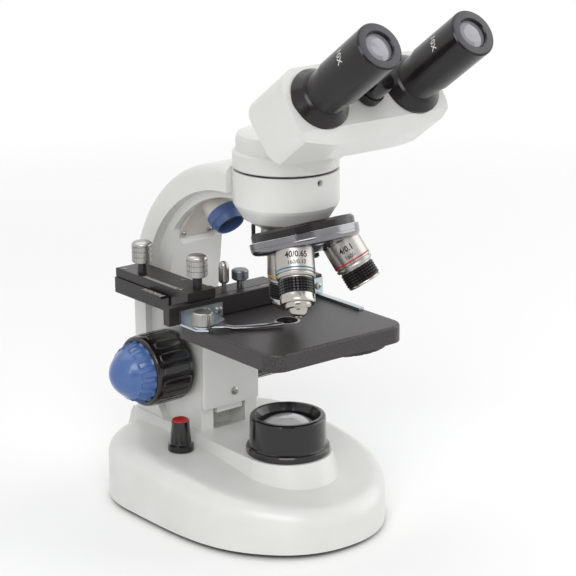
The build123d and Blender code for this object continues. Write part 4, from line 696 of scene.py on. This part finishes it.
bracket_face_y = 30.8
carriage_face_y = 57.7
block_top = 151.2
front_face = along((0, 0, 0), (0, -1, 0), (1, 0, 0))
bracket_screws = (("bracket_screw_0", -38.2, 139.0), ("bracket_screw_1", -29.4, 138.2),
                  ("right_bracket_screw", 50.0, 138.4))
for name, x, z in bracket_screws:
    cross_screw(name, at(x, bracket_face_y, z) @ front_face, radius=2.3, height=1.4, finish=satin_chrome,
                body="x_carrier")
cross_screw("carriage_screw", at(2.4, carriage_face_y, 71.3) @ front_face, radius=2.6, height=1.3,
            finish=satin_chrome, body="stage")
for index, (x, y) in enumerate(((-46.5, 45.5), (-33.0, 62.0), (-46.5, 106.0))):
    cross_screw("block_screw_%d" % index, at(x, y, block_top), radius=1.7, height=0.7, finish=dull_steel,
                body="y_block")


# Arm lamp, which aims at the stage's top; its profiles as (radius, distance from there)

lamp_turn = math.radians(41.5)
lamp_along = Vector((0, math.cos(lamp_turn), math.sin(lamp_turn)))
lamp_up = Vector((0, -math.sin(lamp_turn), math.cos(lamp_turn)))
lamp_frame = along((0, 0, stage_top), lamp_along, (1, 0, 0))
cover_reach = 94.4
cover_screws = ((-9.8, 7.3), (-9.8, -32.9), (9.8, 7.3), (9.8, -32.9))
for index, (x, up) in enumerate(cover_screws):
    centre = Vector((x, 0, stage_top)) + lamp_along * cover_reach + lamp_up * up
    cross_screw("lamp_screw_%d" % index, along(centre, -lamp_along, (1, 0, 0)), radius=2.0, height=0.9,
                finish=satin_chrome, body="stand")
reflector = [(8.9, 80.2), (8.2, 82.0), (5.6, 84.0), (3.0, 84.6), (AXIS, 84.6)]
# The reflector takes the same mid grey, a painted sheen.
settle(lathe("lamp_reflector", reflector, 48), lamp_frame, grey_painted_sheen, "stand")
# The bead takes the same opaque grey of painted light seen through glass.
bead = [(2.6, 84.5), (2.6, 82.6), (2.2, 81.4), (1.3, 80.7), (AXIS, 80.4)]
settle(lathe("lamp_bead", bead, 32), lamp_frame, lens_grey_painted_light, "stand")


# Bright ring in the stage's hole, ticks of the scales, click stop of the nosepiece

upright = at(0, 0)
hole_ring = [(6.5, 131.0), (6.5, 132.7), (6.8, stage_top), (7.9, 133.08), (8.1, stage_top)]
settle(lathe("stage_hole_ring", hole_ring, 64), upright, polished_nickel, "stage")
scales = (
    ("rail_ticks", (-55.6, 55.0, 146.08), (-52.6, 55.25, 146.16), "stage", 20, (0, 1.0, 0)),
    ("rail_long_ticks", (-56.0, 55.0, 146.08), (-52.0, 55.3, 146.17), "stage", 5, (0, 5.0, 0)),
    ("block_ticks", (-49.2, 48.0, 151.38), (-46.6, 48.25, 151.46), "y_block", 36, (0, 1.0, 0)),
    ("bar_ticks", (8.0, 34.6, 145.48), (8.25, 37.2, 145.55), "x_carrier", 40, (1.0, 0, 0)),
)
for name, corner, far_corner, body, ticks, pitch in scales:
    block(name, corner, far_corner, upright, white_ink, body, copies=ticks, step=pitch)
click_frame = along((-15.6, 12.4, 0), (0, 0, 1), (0.62, 0.78, 0))
block("click_stop", (-2.0, -1.2, 186.6), (2.0, 1.2, 193.6), click_frame, black_paint, "stand",
      edge=0.3)


# Eyepieces and the knob between them, their profiles as (radius, distance along the tubes)

tube_x = 34.0
tube_z = 232.9
number_turn = -42       # degrees from the side that faces the camera
head_turn = math.radians(35.5)
tube_along = Vector((0, -math.cos(head_turn), math.sin(head_turn)))
eye_ring = [(13.0, 151.4), (13.0, 151.62), (12.7, 151.68), (9.3, 151.68), (9.1, 151.4)]
for side, hand in hands:
    matrix = along((tube_x * side, 0, tube_z), tube_along, (1, 0, 0))
    body = "ocular_" + hand
    # the eye ring's mid grey is a painted sheen
    settle(lathe("eye_ring_" + hand, eye_ring, 72), matrix, grey_painted_sheen, body)
    marking("eyepiece_power_" + hand, "10X", height=4.0, weight=0.06, squeeze=1.0, radius=14.16, level=132.5,
            bearing=viewer_bearing(matrix) + number_turn, tops=1, matrix=matrix, finish=white_ink, body=body)

pupil_knob_place = (0, -0.871, 231.679)
knob_frame = along(pupil_knob_place, tube_along, (1, 0, 0))
flute_low = 89.9
flute_high = 95.2
flute_radius = 7.9
pupil_knob = [(AXIS, 82.2), (2.5, 82.2), (2.5, 89.6), (7.6, 89.6), (flute_radius, flute_low),
              (flute_radius, flute_high), (7.6, 95.6), (6.9, 95.6), (6.9, 106.6), (6.6, 107.3), (5.9, 107.6),
              (AXIS, 107.6)]
fluted = lathe("pupil_knob_fluted", pupil_knob, 64)
ridges(fluted, flute_low, flute_high, flute_radius, 64, depth=0.2)
settle(fluted, knob_frame, black_abs, "pupil_knob", ("ipd_knob",), smooth=28)


# Floor, light and camera, in metres

stand_middle = (0, 0, 0.15)


def studio_floor():
    """Round pale floor that fades into the white surround."""
    clear_selection()
    bpy.ops.mesh.primitive_circle_add(vertices=96, radius=1.6, fill_type="NGON")
    floor = bpy.context.object
    floor.name = "studio_floor"
    material, shader, place = new_material("pale_paper_sweep")
    shader.inputs["Base Color"].default_value = linear("#fbfbfb")
    shader.inputs["Roughness"].default_value = 0.9
    shader.inputs["Specular IOR Level"].default_value = 0.1
    reach = add_node(material, "ShaderNodeVectorMath", [("Vector", place, "Object")], operation="LENGTH")
    fade = add_node(material, "ShaderNodeMapRange", [("Value", reach, "Value")], from_min=0.35, from_max=1.2)
    clear = add_node(material, "ShaderNodeBsdfTransparent")
    mix = add_node(material, "ShaderNodeMixShader",
                   [("Fac", fade, "Result"), (1, shader, "BSDF"), (2, clear, "BSDF")])
    output = next(n for n in material.node_tree.nodes if n.type == "OUTPUT_MATERIAL")
    material.node_tree.links.new(mix.outputs["Shader"], output.inputs["Surface"])
    floor.data.materials.append(material)


def studio_world():
    """White surround, dimmer as a light than as a background or a reflection."""
    white = (1.0, 1.0, 1.0, 1.0)
    world = bpy.data.worlds.new("studio_surround")
    bpy.context.scene.world = world
    world.use_nodes = True
    world.node_tree.nodes.clear()
    path = add_node(world, "ShaderNodeLightPath")
    seen = add_node(world, "ShaderNodeMath", [(0, path, "Is Camera Ray"), (1, path, "Is Transmission Ray")],
                    operation="MAXIMUM")
    seen_or_mirrored = add_node(world, "ShaderNodeMath", [(0, seen, "Value"), (1, path, "Is Glossy Ray")],
                                operation="MAXIMUM")
    ambient = add_node(world, "ShaderNodeBackground", Color=white, Strength=0.44)
    backdrop = add_node(world, "ShaderNodeBackground", Color=white, Strength=1.0)
    mix = add_node(world, "ShaderNodeMixShader", [("Fac", seen_or_mirrored, "Value"),
                                                  (1, ambient, "Background"), (2, backdrop, "Background")])
    add_node(world, "ShaderNodeOutputWorld", [("Surface", mix, "Shader")])


def looking(place, aim):
    """Rotation of a lamp or a card that looks from a place at a point."""
    return (Vector(aim) - Vector(place)).to_track_quat("-Z", "Y")


def softbox(name, place, size, power):
    """Rectangular area lamp that looks at the stand's middle."""
    lamp = bpy.data.lights.new(name, "AREA")
    lamp.shape = "RECTANGLE"
    lamp.size, lamp.size_y = size
    lamp.energy = power
    holder = bpy.data.objects.new(name, lamp)
    bpy.context.scene.collection.objects.link(holder)
    holder.matrix_world = Matrix.Translation(place) @ looking(place, stand_middle).to_matrix().to_4x4()


def dark_card(name, place, aim, size):
    """Dark card beside the camera that only polished surfaces see, as the unlit side of a studio."""
    clear_selection()
    bpy.ops.mesh.primitive_grid_add(x_subdivisions=2, y_subdivisions=2, size=1.0)
    card = bpy.context.object
    card.name = name
    card.scale = (*size, 1.0)
    card.rotation_mode = "QUATERNION"
    card.rotation_quaternion = looking(place, aim)
    card.location = place
    material, shader, _ = new_material(name + "_felt")
    shader.inputs["Base Color"].default_value = linear("#2a2a2b")
    shader.inputs["Roughness"].default_value = 0.95
    card.data.materials.append(material)
    card.visible_camera = False
    card.visible_diffuse = False
    card.visible_shadow = False
    card.visible_transmission = False


def photo_camera():
    """Camera at the photograph's place: from the front left, a little above."""
    pitch = math.radians(16.341)
    turn = math.radians(-38.536)
    roll = math.radians(-0.421)
    aim_right_mm = 0.712        # aim point's distance from the optical axis, towards the picture's right
    aim_z_mm = 153.5
    distance_mm = 1202.5
    sensor_mm = 36.0
    focal_px = 1973.4
    photo_px = 576
    back = Vector((math.sin(turn) * math.cos(pitch), -math.cos(turn) * math.cos(pitch), math.sin(pitch)))
    right = Vector((math.cos(turn), math.sin(turn), 0.0))
    up = back.cross(right)
    rolled_right = right * math.cos(roll) + up * math.sin(roll)
    rolled_up = up * math.cos(roll) - right * math.sin(roll)
    aim = Vector((right.x * aim_right_mm, right.y * aim_right_mm, aim_z_mm)) * MM
    lens = bpy.data.cameras.new("photo_camera")
    lens.sensor_width = sensor_mm
    lens.lens = sensor_mm * focal_px / photo_px
    lens.clip_start = 0.01
    holder = bpy.data.objects.new("photo_camera", lens)
    bpy.context.scene.collection.objects.link(holder)
    place = aim + back * distance_mm * MM
    turned = Matrix((rolled_right, rolled_up, back)).transposed().to_4x4()
    holder.matrix_world = Matrix.Translation(place) @ turned
    bpy.context.scene.camera = holder


studio_floor()
studio_world()
softbox("key_softbox", (-1.0, -1.1, 1.1), size=(1.2, 1.2), power=18)
softbox("fill_softbox", (1.3, -0.5, 0.7), size=(1.4, 1.6), power=9)
softbox("top_softbox", (0.1, 0.5, 1.5), size=(2.0, 1.4), power=9)
dark_card("camera_side_card", (-0.95, -1.2, 0.5), aim=(0, 0, 0.18), size=(1.1, 0.8))
photo_camera()
bpy.context.scene.view_settings.view_transform = "Standard"
